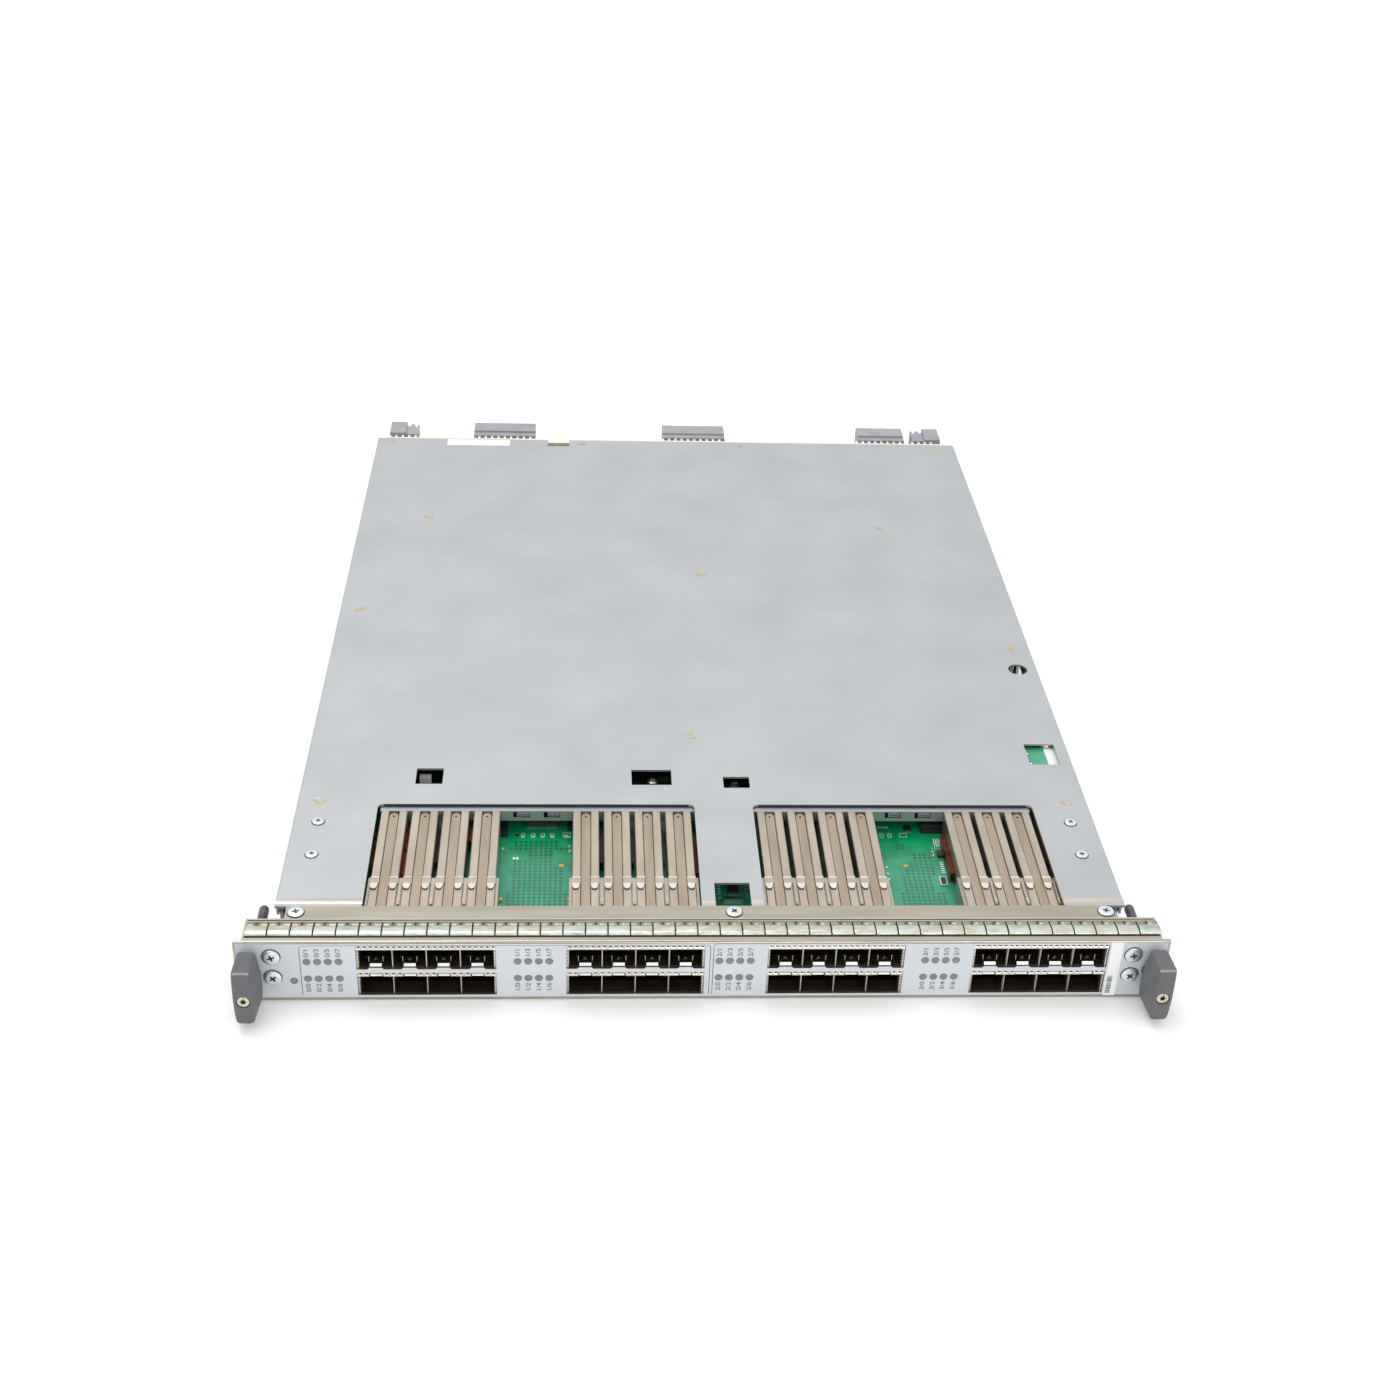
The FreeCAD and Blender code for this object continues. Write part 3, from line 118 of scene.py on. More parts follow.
def patches(tree, place, size, detail=2.0, roughness=0.5):
    """Soft noise whose patches are about size millimetres across in X, Y and Z."""
    scaled = add(tree, "ShaderNodeMapping", {"Vector": place, "Scale": tuple(1000 / s for s in size)})
    return add(tree, "ShaderNodeTexNoise", {"Vector": scaled.outputs["Vector"], "Scale": 1.0,
                                            "Detail": detail, "Roughness": roughness}).outputs["Fac"]


def metal_finish(name, stops, patch, grain, rough, depth, metallic=1.0, **constants):
    """A metal surface: broad patches of tone, and a fine grain that sets gloss and relief. The
    sizes of patch and grain and the depth are millimetres, and rough is the roughness range."""
    material, tree, shader, place = blank(name, Metallic=metallic, **constants)
    tree.links.new(ramp(tree, patches(tree, place, patch, 4.0), stops), shader.inputs["Base Color"])
    fine = patches(tree, place, grain, 3.0)
    gloss = add(tree, "ShaderNodeMapRange", {"Value": fine, "From Min": 0.3, "From Max": 0.7,
                                             "To Min": rough[0], "To Max": rough[1]})
    tree.links.new(gloss.outputs["Result"], shader.inputs["Roughness"])
    bump = add(tree, "ShaderNodeBump", {"Height": fine, "Strength": 1.0, "Distance": depth * MM})
    tree.links.new(bump.outputs["Normal"], shader.inputs["Normal"])
    return material


def moulded_finish(name, stops, patch, grain, rough, depth, **constants):
    """A moulded or printed plastic surface, with the same two scales as a metal's."""
    return metal_finish(name, stops, patch, grain, rough, depth, metallic=0.0, **constants)


def board_finish():
    """Glass-epoxy board under glossy green solder resist: the copper planes below make two
    greens, darker towards the back, and the weave barely dents the surface."""
    material, tree, shader, place = blank("solder_resist_on_glass_epoxy", Roughness=0.28, IOR=1.5)
    split = add(tree, "ShaderNodeSeparateXYZ", {"Vector": place})
    wave = patches(tree, place, (22, 22, 22), 1.0)
    wobble = add(tree, "ShaderNodeMath", {0: wave, 1: 0.02, 2: split.outputs["Y"]}, operation="MULTIPLY_ADD")
    deep = add(tree, "ShaderNodeMapRange", {"Value": wobble.outputs["Value"], "From Min": (FRONT + 78) * MM,
                                            "From Max": (FRONT + 93) * MM})
    cloud = patches(tree, place, (9, 9, 9), 3.0)
    light = ramp(tree, cloud, [(0.35, "#268d6c"), (0.65, "#389d7a")])
    dark = ramp(tree, cloud, [(0.35, "#04804f"), (0.65, "#0a9a62")])
    mixed = add(tree, "ShaderNodeMix", {0: deep.outputs["Result"], 6: light, 7: dark}, data_type="RGBA")
    tree.links.new(mixed.outputs[2], shader.inputs["Base Color"])
    weave = patches(tree, place, (0.5, 0.5, 0.5), 2.0)
    bump = add(tree, "ShaderNodeBump", {"Height": weave, "Strength": 1.0, "Distance": 0.01 * MM})
    tree.links.new(bump.outputs["Normal"], shader.inputs["Normal"])
    return material


def tin_finish():
    """Bright tin over beryllium copper: nearly a mirror, stained straw and green in patches
    a finger or two long where the plating has aged."""
    material, tree, shader, place = blank("bright_tin_on_spring_copper", Metallic=1.0)
    stain = patches(tree, place, (24, 9, 9), 3.0, 0.6)
    colour = ramp(tree, stain, [(0.30, "#a3b0aa"), (0.45, "#d0d4cc"), (0.55, "#bdbea9"), (0.66, "#d8dbd5"),
                                (0.78, "#a2ae9a")])
    tree.links.new(colour, shader.inputs["Base Color"])
    scuff = patches(tree, place, (6, 0.6, 0.6), 3.0)
    gloss = add(tree, "ShaderNodeMapRange", {"Value": scuff, "From Min": 0.3, "From Max": 0.7,
                                             "To Min": 0.16, "To Max": 0.34})
    tree.links.new(gloss.outputs["Result"], shader.inputs["Roughness"])
    dents = patches(tree, place, (5, 2, 2), 2.0)
    bump = add(tree, "ShaderNodeBump", {"Height": dents, "Strength": 1.0, "Distance": 0.10 * MM})
    tree.links.new(bump.outputs["Normal"], shader.inputs["Normal"])
    return material


MATERIALS = {
    # Nickel plate on folded steel: warm grey satin, rolled along the card's width.
    "nickel": metal_finish("satin_nickel_plate", [(0.3, "#a59f91"), (0.7, "#b7b1a3")],
                           (60, 5, 5), (14, 0.35, 0.35), (0.30, 0.46), 0.010),
    # Pale nickel: a painted highlight along the crest of each bend, and the plain pale tone of the window
    # spring strips.
    "lip_light": metal_finish("pale_nickel_and_painted_highlight", [(0.3, "#bcb7ab"), (0.7, "#cfcabf")],
                              (30, 3, 3), (8, 0.3, 0.3), (0.16, 0.26), 0.004),
    # The same bend's far side, out of the light: a brown-grey line.
    "lip_dark": metal_finish("nickel_bend_in_shade", [(0.3, "#776e60"), (0.7, "#8f8577")],
                             (30, 3, 3), (8, 0.3, 0.3), (0.3, 0.45), 0.004),
    # Zinc-plated sheet: pale, almost matt, with faint cloudy spangle.
    "zinc": metal_finish("zinc_plated_steel_sheet", [(0.3, "#b3b6b8"), (0.7, "#bcbec0")],
                         (38, 38, 38), (0.7, 0.7, 0.7), (0.46, 0.60), 0.010, metallic=0.85),
    # Nickel silver stampings: tan satin, grain along the draw direction.
    "cage": metal_finish("satin_nickel_silver", [(0.3, "#b1a696"), (0.7, "#c2b7a7")],
                         (5, 30, 5), (0.3, 6, 0.3), (0.30, 0.44), 0.008),
    # Sunk middles of the pressings, shaded by their bars: the same metal, a tone darker.
    "groove": metal_finish("nickel_silver_in_shade", [(0.3, "#a2937f"), (0.7, "#b2a390")],
                           (5, 30, 5), (0.3, 6, 0.3), (0.36, 0.5), 0.008),
    # Gasket foot, where the tin has aged most: dull olive straw.
    "straw": metal_finish("straw_stained_tin", [(0.3, "#85806f"), (0.5, "#a09b86"), (0.7, "#8c8776")],
                          (14, 6, 6), (4, 0.5, 0.5), (0.22, 0.36), 0.02),
    # Painted highlight on tabs and edges of the cage metal: nearly white glints.
    "bright": metal_finish("nickel_silver_painted_highlight", [(0.3, "#dedad2"), (0.7, "#f2f0ea")],
                           (4, 4, 4), (0.4, 0.4, 0.4), (0.12, 0.22), 0.004),
    # Spring fingers: bright, with straw stains.
    "tin": tin_finish(),
    # Bright zinc screws: cool, glossy, with faint turning marks.
    "screw": metal_finish("bright_zinc_plate", [(0.3, "#cfd8da"), (0.7, "#e6ecec")],
                          (2.5, 2.5, 2.5), (0.25, 0.25, 0.25), (0.24, 0.38), 0.006),
    # Driver recess: the screw's zinc in its own shade, dark grey.
    "recess": metal_finish("driver_recess_in_shade", [(0.3, "#3f4648"), (0.7, "#6f7a7c")],
                           (1, 1, 1), (0.2, 0.2, 0.2), (0.35, 0.5), 0.004),
    # Yellow zinc clinch heads: dull tan.
    "stud": metal_finish("yellow_zinc_plate", [(0.3, "#b3aa95"), (0.7, "#cbc4b2")],
                         (3, 3, 3), (0.3, 0.3, 0.3), (0.36, 0.52), 0.008),
    # Turned stainless steel: warm grey with small soft highlights.
    "stainless": metal_finish("passivated_stainless_steel", [(0.3, "#c2bbab"), (0.7, "#dcd6c8")],
                              (3, 3, 3), (0.25, 0.25, 0.25), (0.24, 0.38), 0.004),
    # Black oxide over steel: charcoal with a soft sheen.
    "black_steel": metal_finish("black_oxide_steel", [(0.3, "#4d4d50"), (0.7, "#66666a")],
                                (6, 6, 6), (0.3, 0.3, 0.3), (0.36, 0.5), 0.006, metallic=0.6),
    # Extruded aluminium: pale grey with faint lines along the fins.
    "aluminium": metal_finish("extruded_aluminium", [(0.3, "#b9bcbe"), (0.7, "#cfd1d2")],
                              (20, 60, 20), (0.3, 8, 0.3), (0.30, 0.45), 0.006),
    # Hard gold on contacts and test points: small deep yellow spots.
    "gold": metal_finish("hard_gold_plate", [(0.3, "#b8923f"), (0.7, "#d9b766")],
                         (1, 1, 1), (0.3, 0.3, 0.3), (0.25, 0.4), 0.002),
    # Copper bus in the dark between the pressings: red-brown. The same colour paints the small copper glints
    # on the window spring strips.
    "copper": metal_finish("oxidised_copper_and_painted_glint", [(0.3, "#4a2312"), (0.7, "#8a4724")],
                           (4, 4, 4), (0.5, 0.5, 0.5), (0.32, 0.5), 0.01),
    # Painted shade for cage interiors, gaps and slots: unlit, nearly black with a brown cast.
    "cavity": metal_finish("copper_alloy_painted_shade", [(0.3, "#0b0a07"), (0.7, "#1a1710")],
                           (6, 12, 6), (0.5, 0.5, 0.5), (0.45, 0.65), 0.01, metallic=0.2),
    # Springs inside the cages: dull brown copper, hardly lit, its tone darkened as painted shade; the same
    # brown paints shade in the knob screws' recesses and on the latch catches.
    "brown": metal_finish("spring_copper_painted_shade", [(0.3, "#3d3420"), (0.7, "#62563a")],
                          (3, 6, 3), (0.5, 0.5, 0.5), (0.35, 0.5), 0.01, metallic=0.7),
    # Polycarbonate film: cool grey ink on the back, fine matt texture in front.
    "film": moulded_finish("matt_polycarbonate_film", [(0.3, "#c6cacf"), (0.7, "#cdd1d6")],
                           (50, 20, 20), (0.25, 0.25, 0.25), (0.44, 0.54), 0.006, IOR=1.58),
    # Screen ink on the film: flat dark grey.
    "ink": moulded_finish("dark_grey_screen_ink", [(0.3, "#56595d"), (0.7, "#5f6266")],
                          (4, 4, 4), (0.3, 0.3, 0.3), (0.5, 0.6), 0.002, IOR=1.5),
    # Knobs: dark grey moulded plastic with an eroded-mould texture of about 0.3 mm.
    "knob": moulded_finish("spark_textured_dark_grey_plastic", [(0.3, "#57575a"), (0.7, "#5f5f62")],
                           (14, 14, 14), (0.32, 0.32, 0.32), (0.42, 0.56), 0.018, IOR=1.5),
    # Painted highlight along the knob's top front ridge: lighter and glossier than the faces.
    "knob_rim": moulded_finish("knob_ridge_painted_highlight", [(0.3, "#8b8b8e"), (0.7, "#98989b")],
                               (3, 3, 3), (0.3, 0.3, 0.3), (0.26, 0.36), 0.006, IOR=1.5),
    # Unlit light pipes: clear acrylic over a dark cavity, grey from outside.
    "lamp": moulded_finish("unlit_acrylic_light_pipe", [(0.3, "#707271"), (0.7, "#7c7e7d")],
                           (2, 2, 2), (0.5, 0.5, 0.5), (0.30, 0.42), 0.004, IOR=1.49, Coat_Weight=0.3),
    # Glass-filled polyester mouldings: matt mid grey, faintly mottled by the glass.
    "housing": moulded_finish("grey_glass_filled_polyester", [(0.3, "#8b8d92"), (0.7, "#9b9da2")],
                              (10, 10, 10), (0.5, 0.5, 0.5), (0.45, 0.6), 0.01, IOR=1.57),
    # The same plastic unpigmented: a warm off-white.
    "cream": moulded_finish("cream_glass_filled_polyester", [(0.3, "#dad7cb"), (0.7, "#e9e6dc")],
                            (10, 10, 10), (0.5, 0.5, 0.5), (0.45, 0.6), 0.01, IOR=1.57),
    # Epoxy packages and headers: nearly black, with a fine matt grain.
    "black": moulded_finish("black_epoxy_moulding", [(0.3, "#16171a"), (0.7, "#222428")],
                            (3, 3, 3), (0.3, 0.3, 0.3), (0.42, 0.56), 0.006, IOR=1.55),
    # Fired chip parts: matt tan.
    "ceramic": moulded_finish("tan_chip_ceramic", [(0.3, "#8f8473"), (0.7, "#a79c89")],
                              (1, 1, 1), (0.2, 0.2, 0.2), (0.4, 0.5), 0.004, IOR=1.6),
    # Resist close under a window, where light reaches it: a paler green.
    "lit_resist": moulded_finish("green_resist_near_a_window", [(0.3, "#3c9873"), (0.7, "#48a37e")],
                                 (6, 6, 6), (0.5, 0.5, 0.5), (0.28, 0.4), 0.004, IOR=1.5),
    # Legend ink: matt white with a green cast.
    "silk": moulded_finish("white_legend_ink", [(0.3, "#d9e6df"), (0.7, "#eef4f0")],
                           (2, 2, 2), (0.2, 0.2, 0.2), (0.5, 0.6), 0.002, IOR=1.5),
    # Pads under the lighter resist: squares a shade darker than the board.
    "masked": moulded_finish("copper_pads_under_resist", [(0.3, "#1f6b4c"), (0.7, "#297857")],
                             (3, 3, 3), (0.3, 0.3, 0.3), (0.26, 0.36), 0.004, IOR=1.5),
    # Pads under the darker resist, for the board's rear part.
    "masked_dark": moulded_finish("copper_pads_under_dark_resist", [(0.3, "#045835"), (0.7, "#06693f")],
                                  (3, 3, 3), (0.3, 0.3, 0.3), (0.26, 0.36), 0.004, IOR=1.5),
    # Bare white label: clean and smooth, a little brighter than the plate.
    "paper": moulded_finish("white_polyester_label", [(0.3, "#eceeee"), (0.7, "#f6f7f7")],
                            (8, 8, 8), (0.2, 0.2, 0.2), (0.4, 0.5), 0.002, IOR=1.5),
    # Main board: two greens, see board_finish.
    "board": board_finish(),
}


# ---------------------------------------------------------------- shapes

class Piece:
    """The faces of one piece, gathered in card millimetres."""

    def __init__(self, name, finishes, body="card"):
        self.name, self.finishes, self.body = name, finishes, body
        self.mesh = bmesh.new()

    def paint(self, faces, finish):
        """Give faces one of the piece's finishes, or its first where none is named."""
        for face in faces:
            face.material_index = self.finishes.index(finish) if finish else 0

    def block(self, low, high, finish=None):
        """A rectangular solid between two corners."""
        x, y, z = zip(low, high)
        corners = [self.mesh.verts.new((x[i], y[j], z[k])) for i in (0, 1) for j in (0, 1) for k in (0, 1)]
        sides = ((0, 1, 3, 2), (4, 6, 7, 5), (0, 4, 5, 1), (2, 3, 7, 6), (0, 2, 6, 4), (1, 5, 7, 3))
        self.paint([self.mesh.faces.new([corners[i] for i in side]) for side in sides], finish)

    def prism(self, outline, plane, start, end, finish=None):
        """An outline in the plane "xy", "xz" or "yz", carried along the third axis."""
        order = {"xy": (0, 1, 2), "xz": (0, 2, 1), "yz": (2, 0, 1)}[plane]
        rings = []
        for level in (start, end):
            rings.append([self.mesh.verts.new([(a, b, level)[i] for i in order]) for a, b in outline])
        faces = [self.mesh.faces.new(rings[0]), self.mesh.faces.new(rings[1][::-1])]
        for i in range(len(outline)):
            j = (i + 1) % len(outline)
            faces.append(self.mesh.faces.new((rings[0][i], rings[0][j], rings[1][j], rings[1][i])))
        self.paint(faces, finish)

    def lathe(self, profile, centre, axis="z", steps=24, finish=None):
        """A solid of revolution: pairs of radius and height along an axis through the centre."""
        turn = {"z": Matrix(), "y": Matrix.Rotation(-math.pi / 2, 4, "X"),
                "-y": Matrix.Rotation(math.pi / 2, 4, "X")}[axis]
        place = Matrix.Translation(centre) @ turn
        rings = []
        for radius, height in profile:
            if radius == 0:
                rings.append([self.mesh.verts.new(place @ Vector((0, 0, height)))] * steps)
                continue
            circle = [Vector((x, y, height)) for x, y in disc(0, 0, radius, steps)]
            rings.append([self.mesh.verts.new(place @ point) for point in circle])
        faces = []
        for lower, upper in zip(rings, rings[1:]):
            for i in range(steps):
                j = (i + 1) % steps
                loop = [lower[i], lower[j], upper[j], upper[i]]
                loop = [v for k, v in enumerate(loop) if v not in loop[:k]]
                faces.append(self.mesh.faces.new(loop))
        for ring, radius in ((rings[0], profile[0][0]), (rings[-1], profile[-1][0])):
            if radius:
                faces.append(self.mesh.faces.new(ring))
        self.paint(faces, finish)

    def stamp(self, template, place):
        """A copy of another piece's mesh, moved by a matrix. Both have the same finishes."""
        copy = template.mesh.copy()
        copy.transform(place)
        holder = bpy.data.meshes.new("copy")
        copy.to_mesh(holder)
        copy.free()
        self.mesh.from_mesh(holder)
        bpy.data.meshes.remove(holder)

    def done(self, edge=0.0, segments=2, angle=32, sheet=0.0, slot=None, replaces=()):
        """Turn the faces into the piece, with rounded edges or a sheet thickness where asked."""
        bmesh.ops.recalc_face_normals(self.mesh, faces=self.mesh.faces)
        self.mesh.transform(TO_FRAME)
        data = bpy.data.meshes.new(self.name)
        self.mesh.to_mesh(data)
        self.mesh.free()
        for finish in self.finishes:
            data.materials.append(MATERIALS[finish])
        data.shade_smooth()
        data.set_sharp_from_angle(angle=math.radians(angle))
        item = bpy.data.objects.new(self.name, data)
        bpy.context.scene.collection.objects.link(item)
        if sheet:
            thick = item.modifiers.new("Sheet", "SOLIDIFY")
            thick.thickness = sheet * MM
            thick.offset = -1
        if edge:
            rounding = item.modifiers.new("Edges", "BEVEL")
            rounding.width = edge * MM
            rounding.segments = segments
            rounding.angle_limit = math.radians(angle)
            rounding.harden_normals = True
        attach(item, self.body)
        if replaces:
            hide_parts(*replaces)
        return item


def rounded(low, high, radius, steps=4):
    """The outline of a rectangle with round corners."""
    points = []
    for cx, cy, start in ((high[0] - radius, high[1] - radius, 0), (low[0] + radius, high[1] - radius, 90),
                          (low[0] + radius, low[1] + radius, 180), (high[0] - radius, low[1] + radius, 270)):
        for step in range(steps + 1):
            turn = math.radians(start + 90 * step / steps)
            points.append((cx + radius * math.cos(turn), cy + radius * math.sin(turn)))
    return points


def disc(x, y, radius, steps):
    """The outline of a circle."""
    return [(x + radius * math.cos(2 * math.pi * i / steps), y + radius * math.sin(2 * math.pi * i / steps))
            for i in range(steps)]


def cut(template, tool, finish):
    """Take one closed template piece out of another, and give the cut faces a finish of their own."""
    holders = []
    for piece in (template, tool):
        bmesh.ops.recalc_face_normals(piece.mesh, faces=piece.mesh.faces)
        data = bpy.data.meshes.new("cutting")
        piece.mesh.to_mesh(data)
        for name in template.finishes:
            data.materials.append(MATERIALS[name])
        holder = bpy.data.objects.new("cutting", data)
        bpy.context.scene.collection.objects.link(holder)
        holders.append(holder)
    for face in holders[1].data.polygons:
        face.material_index = template.finishes.index(finish)
    modifier = holders[0].modifiers.new("Cut", "BOOLEAN")
    modifier.operation = "DIFFERENCE"
    modifier.solver = "EXACT"
    modifier.object = holders[1]
    bpy.context.view_layer.update()
    result = holders[0].evaluated_get(bpy.context.evaluated_depsgraph_get()).to_mesh()
    template.mesh.clear()
    template.mesh.from_mesh(result)
    for holder in holders:
        data = holder.data
        bpy.data.objects.remove(holder)
        bpy.data.meshes.remove(data)


# ---------------------------------------------------------------- screws

def cross_tool(reach, width, depth):
    """The tapered cross that a Phillips driver leaves, below z = 0.1."""
    tool = Piece("tool", ["screw"])
    ends = []
    for level, long, wide in ((0.1, reach, width), (-depth, reach * 0.5, width * 0.7)):
        arm = [(long, -wide), (long, wide), (wide, wide)]
        cross = arm + [(-y, x) for x, y in arm] + [(-x, -y) for x, y in arm] + [(y, -x) for x, y in arm]
        ends.append([tool.mesh.verts.new((x, y, level)) for x, y in cross])
    tool.mesh.faces.new(ends[0])
    tool.mesh.faces.new(ends[1][::-1])
    for i in range(len(ends[0])):
        j = (i + 1) % len(ends[0])
        tool.mesh.faces.new((ends[0][i], ends[0][j], ends[1][j], ends[1][i]))
    return tool


def pan_head(radius, height):
    """A Phillips pan head whose seat is at z = 0 and whose axis is Z, ringed with painted shade for a narrow
    clearance.
    """
    head = Piece("head", ["screw", "recess", "cavity"])
    crown = [(1.0, 0.0), (1.0, 0.50), (0.97, 0.76), (0.90, 0.90), (0.72, 0.97), (0.5, 0.99), (0.25, 1.0),
             (0, 1.0)]
    head.lathe([(radius * across, height * up) for across, up in crown], (0, 0, 0), steps=36, finish="screw")
    tool = cross_tool(radius * 0.46, radius * 0.12, height * 0.75)
    bmesh.ops.translate(tool.mesh, verts=tool.mesh.verts, vec=(0, 0, height))
    cut(head, tool, "recess")
    # Painted shade: a flat dark ring stands for the clearance round the head.
    ring = [(radius + 0.32, 0.0), (radius + 0.32, 0.05), (radius - 0.1, 0.05), (radius - 0.1, 0.0)]
    head.lathe(ring, (0, 0, 0), steps=36, finish="cavity")
    return head


def star_head(radius, height):
    """A flush head with a six-lobe recess, outer face at z = height."""
    head = Piece("head", ["stainless", "recess", "brown"])
    head.lathe([(radius, 0), (radius, height - 0.25), (radius - 0.25, height), (0, height)], (0, 0, 0),
               steps=36, finish="stainless")
    tool = Piece("tool", ["screw"])
    lobes = []
    for step in range(36):
        turn = 2 * math.pi * step / 36
        reach = radius * (0.42 + 0.13 * math.cos(6 * turn))
        lobes.append((reach * math.cos(turn), reach * math.sin(turn)))
    tool.prism(lobes, "xy", height * 0.45, height + 0.2)
    # Painted shade: the recess walls take the dark brown.
    cut(head, tool, "brown")
    return head


def screws(name, template, places, replaces, slot):
    """Copies of one head, each at its place and turned to its own angle."""
    piece = Piece(name, template.finishes)
    for place, angle, facing in places:
        turn = Matrix.Rotation(math.radians(angle), 4, "Z")
        if facing == "front":
            turn = Matrix.Rotation(math.radians(90), 4, "X") @ turn
        piece.stamp(template, Matrix.Translation(place) @ turn)
    return piece.done(slot=slot, replaces=replaces)


def all_screws():
    """Screws in the faceplate, in the flange behind it and in the cover."""
    panel = ((-183.5, 24.4, 20), (-183.5, 13.2, 38), (183.5, 24.4, 8), (183.5, 13.2, 52))
    places = [((x, FILM_FACE, z), angle, "front") for x, z, angle in panel]
    screws("panel_screw_heads", pan_head(3.75, 1.25), places, ("panel_screws",), "zinc_screw")
    places = [((x, 21.4, 30.55), angle, "up") for x, angle in ((-175.5, 15), (12.3, 40), (175.5, 70))]
    screws("flange_screw_heads", pan_head(3.5, 0.9), places, ("flange_screws",), "zinc_screw")
    cover = ((-173.8, 62.5, 30), (-173.8, 87.2, 62), (173.8, 62.5, 12), (173.8, 87.2, 48))
    places = [((x, y, COVER_TOP), angle, "up") for x, y, angle in cover]
    screws("cover_screw_heads", pan_head(2.8, 0.8), places, ("cover_screws",), "zinc_screw")


# ---------------------------------------------------------------- faceplate

def print_number(piece, characters, x, z):
    """Plain characters as a thin print on the film, turned to read upwards."""
    curve = bpy.data.curves.new("number", "FONT")
    curve.body = characters
    curve.size = 2.9
    curve.align_x = "CENTER"
    curve.align_y = "CENTER"
    curve.offset = 0.03
    holder = bpy.data.objects.new("number", curve)
    bpy.context.scene.collection.objects.link(holder)
    bpy.context.view_layer.update()
    data = bpy.data.meshes.new_from_object(holder.evaluated_get(bpy.context.evaluated_depsgraph_get()))
    turn = Matrix.Rotation(math.pi / 2, 4, "X") @ Matrix.Rotation(math.pi / 2, 4, "Z")
    data.transform(Matrix.Translation((x, FILM_FACE - 0.025, z)) @ turn @ Matrix.Diagonal((1.28, 1, 1, 1)))
    piece.mesh.from_mesh(data)
    bpy.data.objects.remove(holder)
    bpy.data.curves.remove(curve)
    bpy.data.meshes.remove(data)


def faceplate_print():
    """Port numbers above and below the lamps, and the lines with round corners that group them."""
    piece = Piece("printed_numbers", ["ink"])
    for bank, centre in enumerate(BANKS):
        for column, step in enumerate(FOUR):
            x = centre - LAMP_SHIFT + step * LAMP_PITCH
            for number, z in ((2 * column + 1, 26.3), (2 * column, 7.3)):
                print_number(piece, "%d/%d" % (bank, number), x, z)
    front, back = FILM_FACE - 0.03, FILM_FACE - 0.01
    for x, low, high in ((-171.7, 3.5, 28.6), (1.0, 3.2, 29.3), (2.4, 3.2, 29.3)):
        piece.block((x - 0.16, front, low), (x + 0.16, back, high))
    for left, right, z in ((-170.1, -0.6, 30.23), (4.0, 171.0, 30.83)):
        piece.block((left, front, z - 0.11), (right, back, z + 0.11))
    radius = 1.6
    for x, z, lean in ((-170.1, 28.6, -1), (4.0, 29.3, -1), (-0.6, 28.53, 1)):
        arc = [(x + lean * reach * math.cos(t), z + reach * math.sin(t))
               for reach, turns in ((radius + 0.11, range(0, 7)), (radius - 0.11, range(6, -1, -1)))
               for t in (math.radians(15 * k) for k in turns)]
        piece.prism(arc, "xz", front, back)
    return piece.done(slot="printed_film")


def lamp_lenses():
    """Domed ends of the light pipes, each ringed with painted shade for the edge of its bore."""
    piece = Piece("light_pipe_lenses", ["lamp", "recess"])
    rim = [(1.7, 0.0), (1.7, 0.06), (1.5, 0.06), (1.5, 0.0)]
    dome = [(1.55, 0.0), (1.55, 0.12), (1.2, 0.2), (0.6, 0.25), (0, 0.26)]
    spots = [(centre - LAMP_SHIFT + step * LAMP_PITCH, z)
             for centre in BANKS for step in FOUR for z in (21.4, 12.2)]
    for x, z in spots + [STATUS_LAMP]:
        place = (x, FILM_FACE, z + 0.12)
        piece.lathe(rim, place, axis="-y", finish="recess")
        piece.lathe(dome, place, axis="-y", finish="lamp")
    return piece.done(slot="lamp_plastic")


def lip_lines():
    """The bend along the panel's top edge as a row of painted highlight and shade lines, and painted shade
    and highlight lines just before and behind the gasket."""
    piece = Piece("lip_bends", ["lip_light", "lip_dark", "cavity"])
    half = 194.8
    outer, inner, centre_y, centre_z = 1.22, 0.92, 1.2, 30.55
    stripes = ((88, 72, "lip_light"), (72, 46, "lip_dark"), (46, 30, "lip_light"), (30, 21, "cavity"))
    for first, last, finish in stripes:
        arc = ((outer, first), (outer, (first + last) / 2), (outer, last), (inner, last), (inner, first))
        turned = [(reach, math.radians(angle)) for reach, angle in arc]
        edge = [(centre_y - reach * math.cos(turn), centre_z + reach * math.sin(turn))
                for reach, turn in turned]
        piece.prism(edge, "yz", -half, half, finish)
    # Painted shade in the gap before the gasket, then painted highlight and shade along the step behind it.
    shade_and_highlight_lines = ((3.3, 4.0, 0.07, "cavity"), (13.5, 14.3, 0.05, "lip_light"), (14.3, 15.05, 0.02, "cavity"),
              (15.05, 15.95, 0.03, "lip_light"))
    for front, back, rise, finish in shade_and_highlight_lines:
        piece.block((0.2 - half, front, LIP_TOP), (half - 0.2, back, LIP_TOP + rise), finish)
    return piece.done(slot="nickel_sheet")


def side_label():
    """Bare white label on the right end of the faceplate, flat on its face up to the top lip."""
    piece = Piece("faceplate_label", ["paper", "ink"])
    piece.block((173.3, -0.30, 1.6), (178.5, -0.21, 31.2), "paper")
    rows = random.Random(5)
    z = 3.0
    while z < 12.5:
        height = rows.choice((0.25, 0.4, 0.6))
        piece.block((174.0, -0.325, z), (176.2, -0.30, z + height), "ink")
        z += height + rows.choice((0.25, 0.4))
    return piece.done(slot="printed_film")


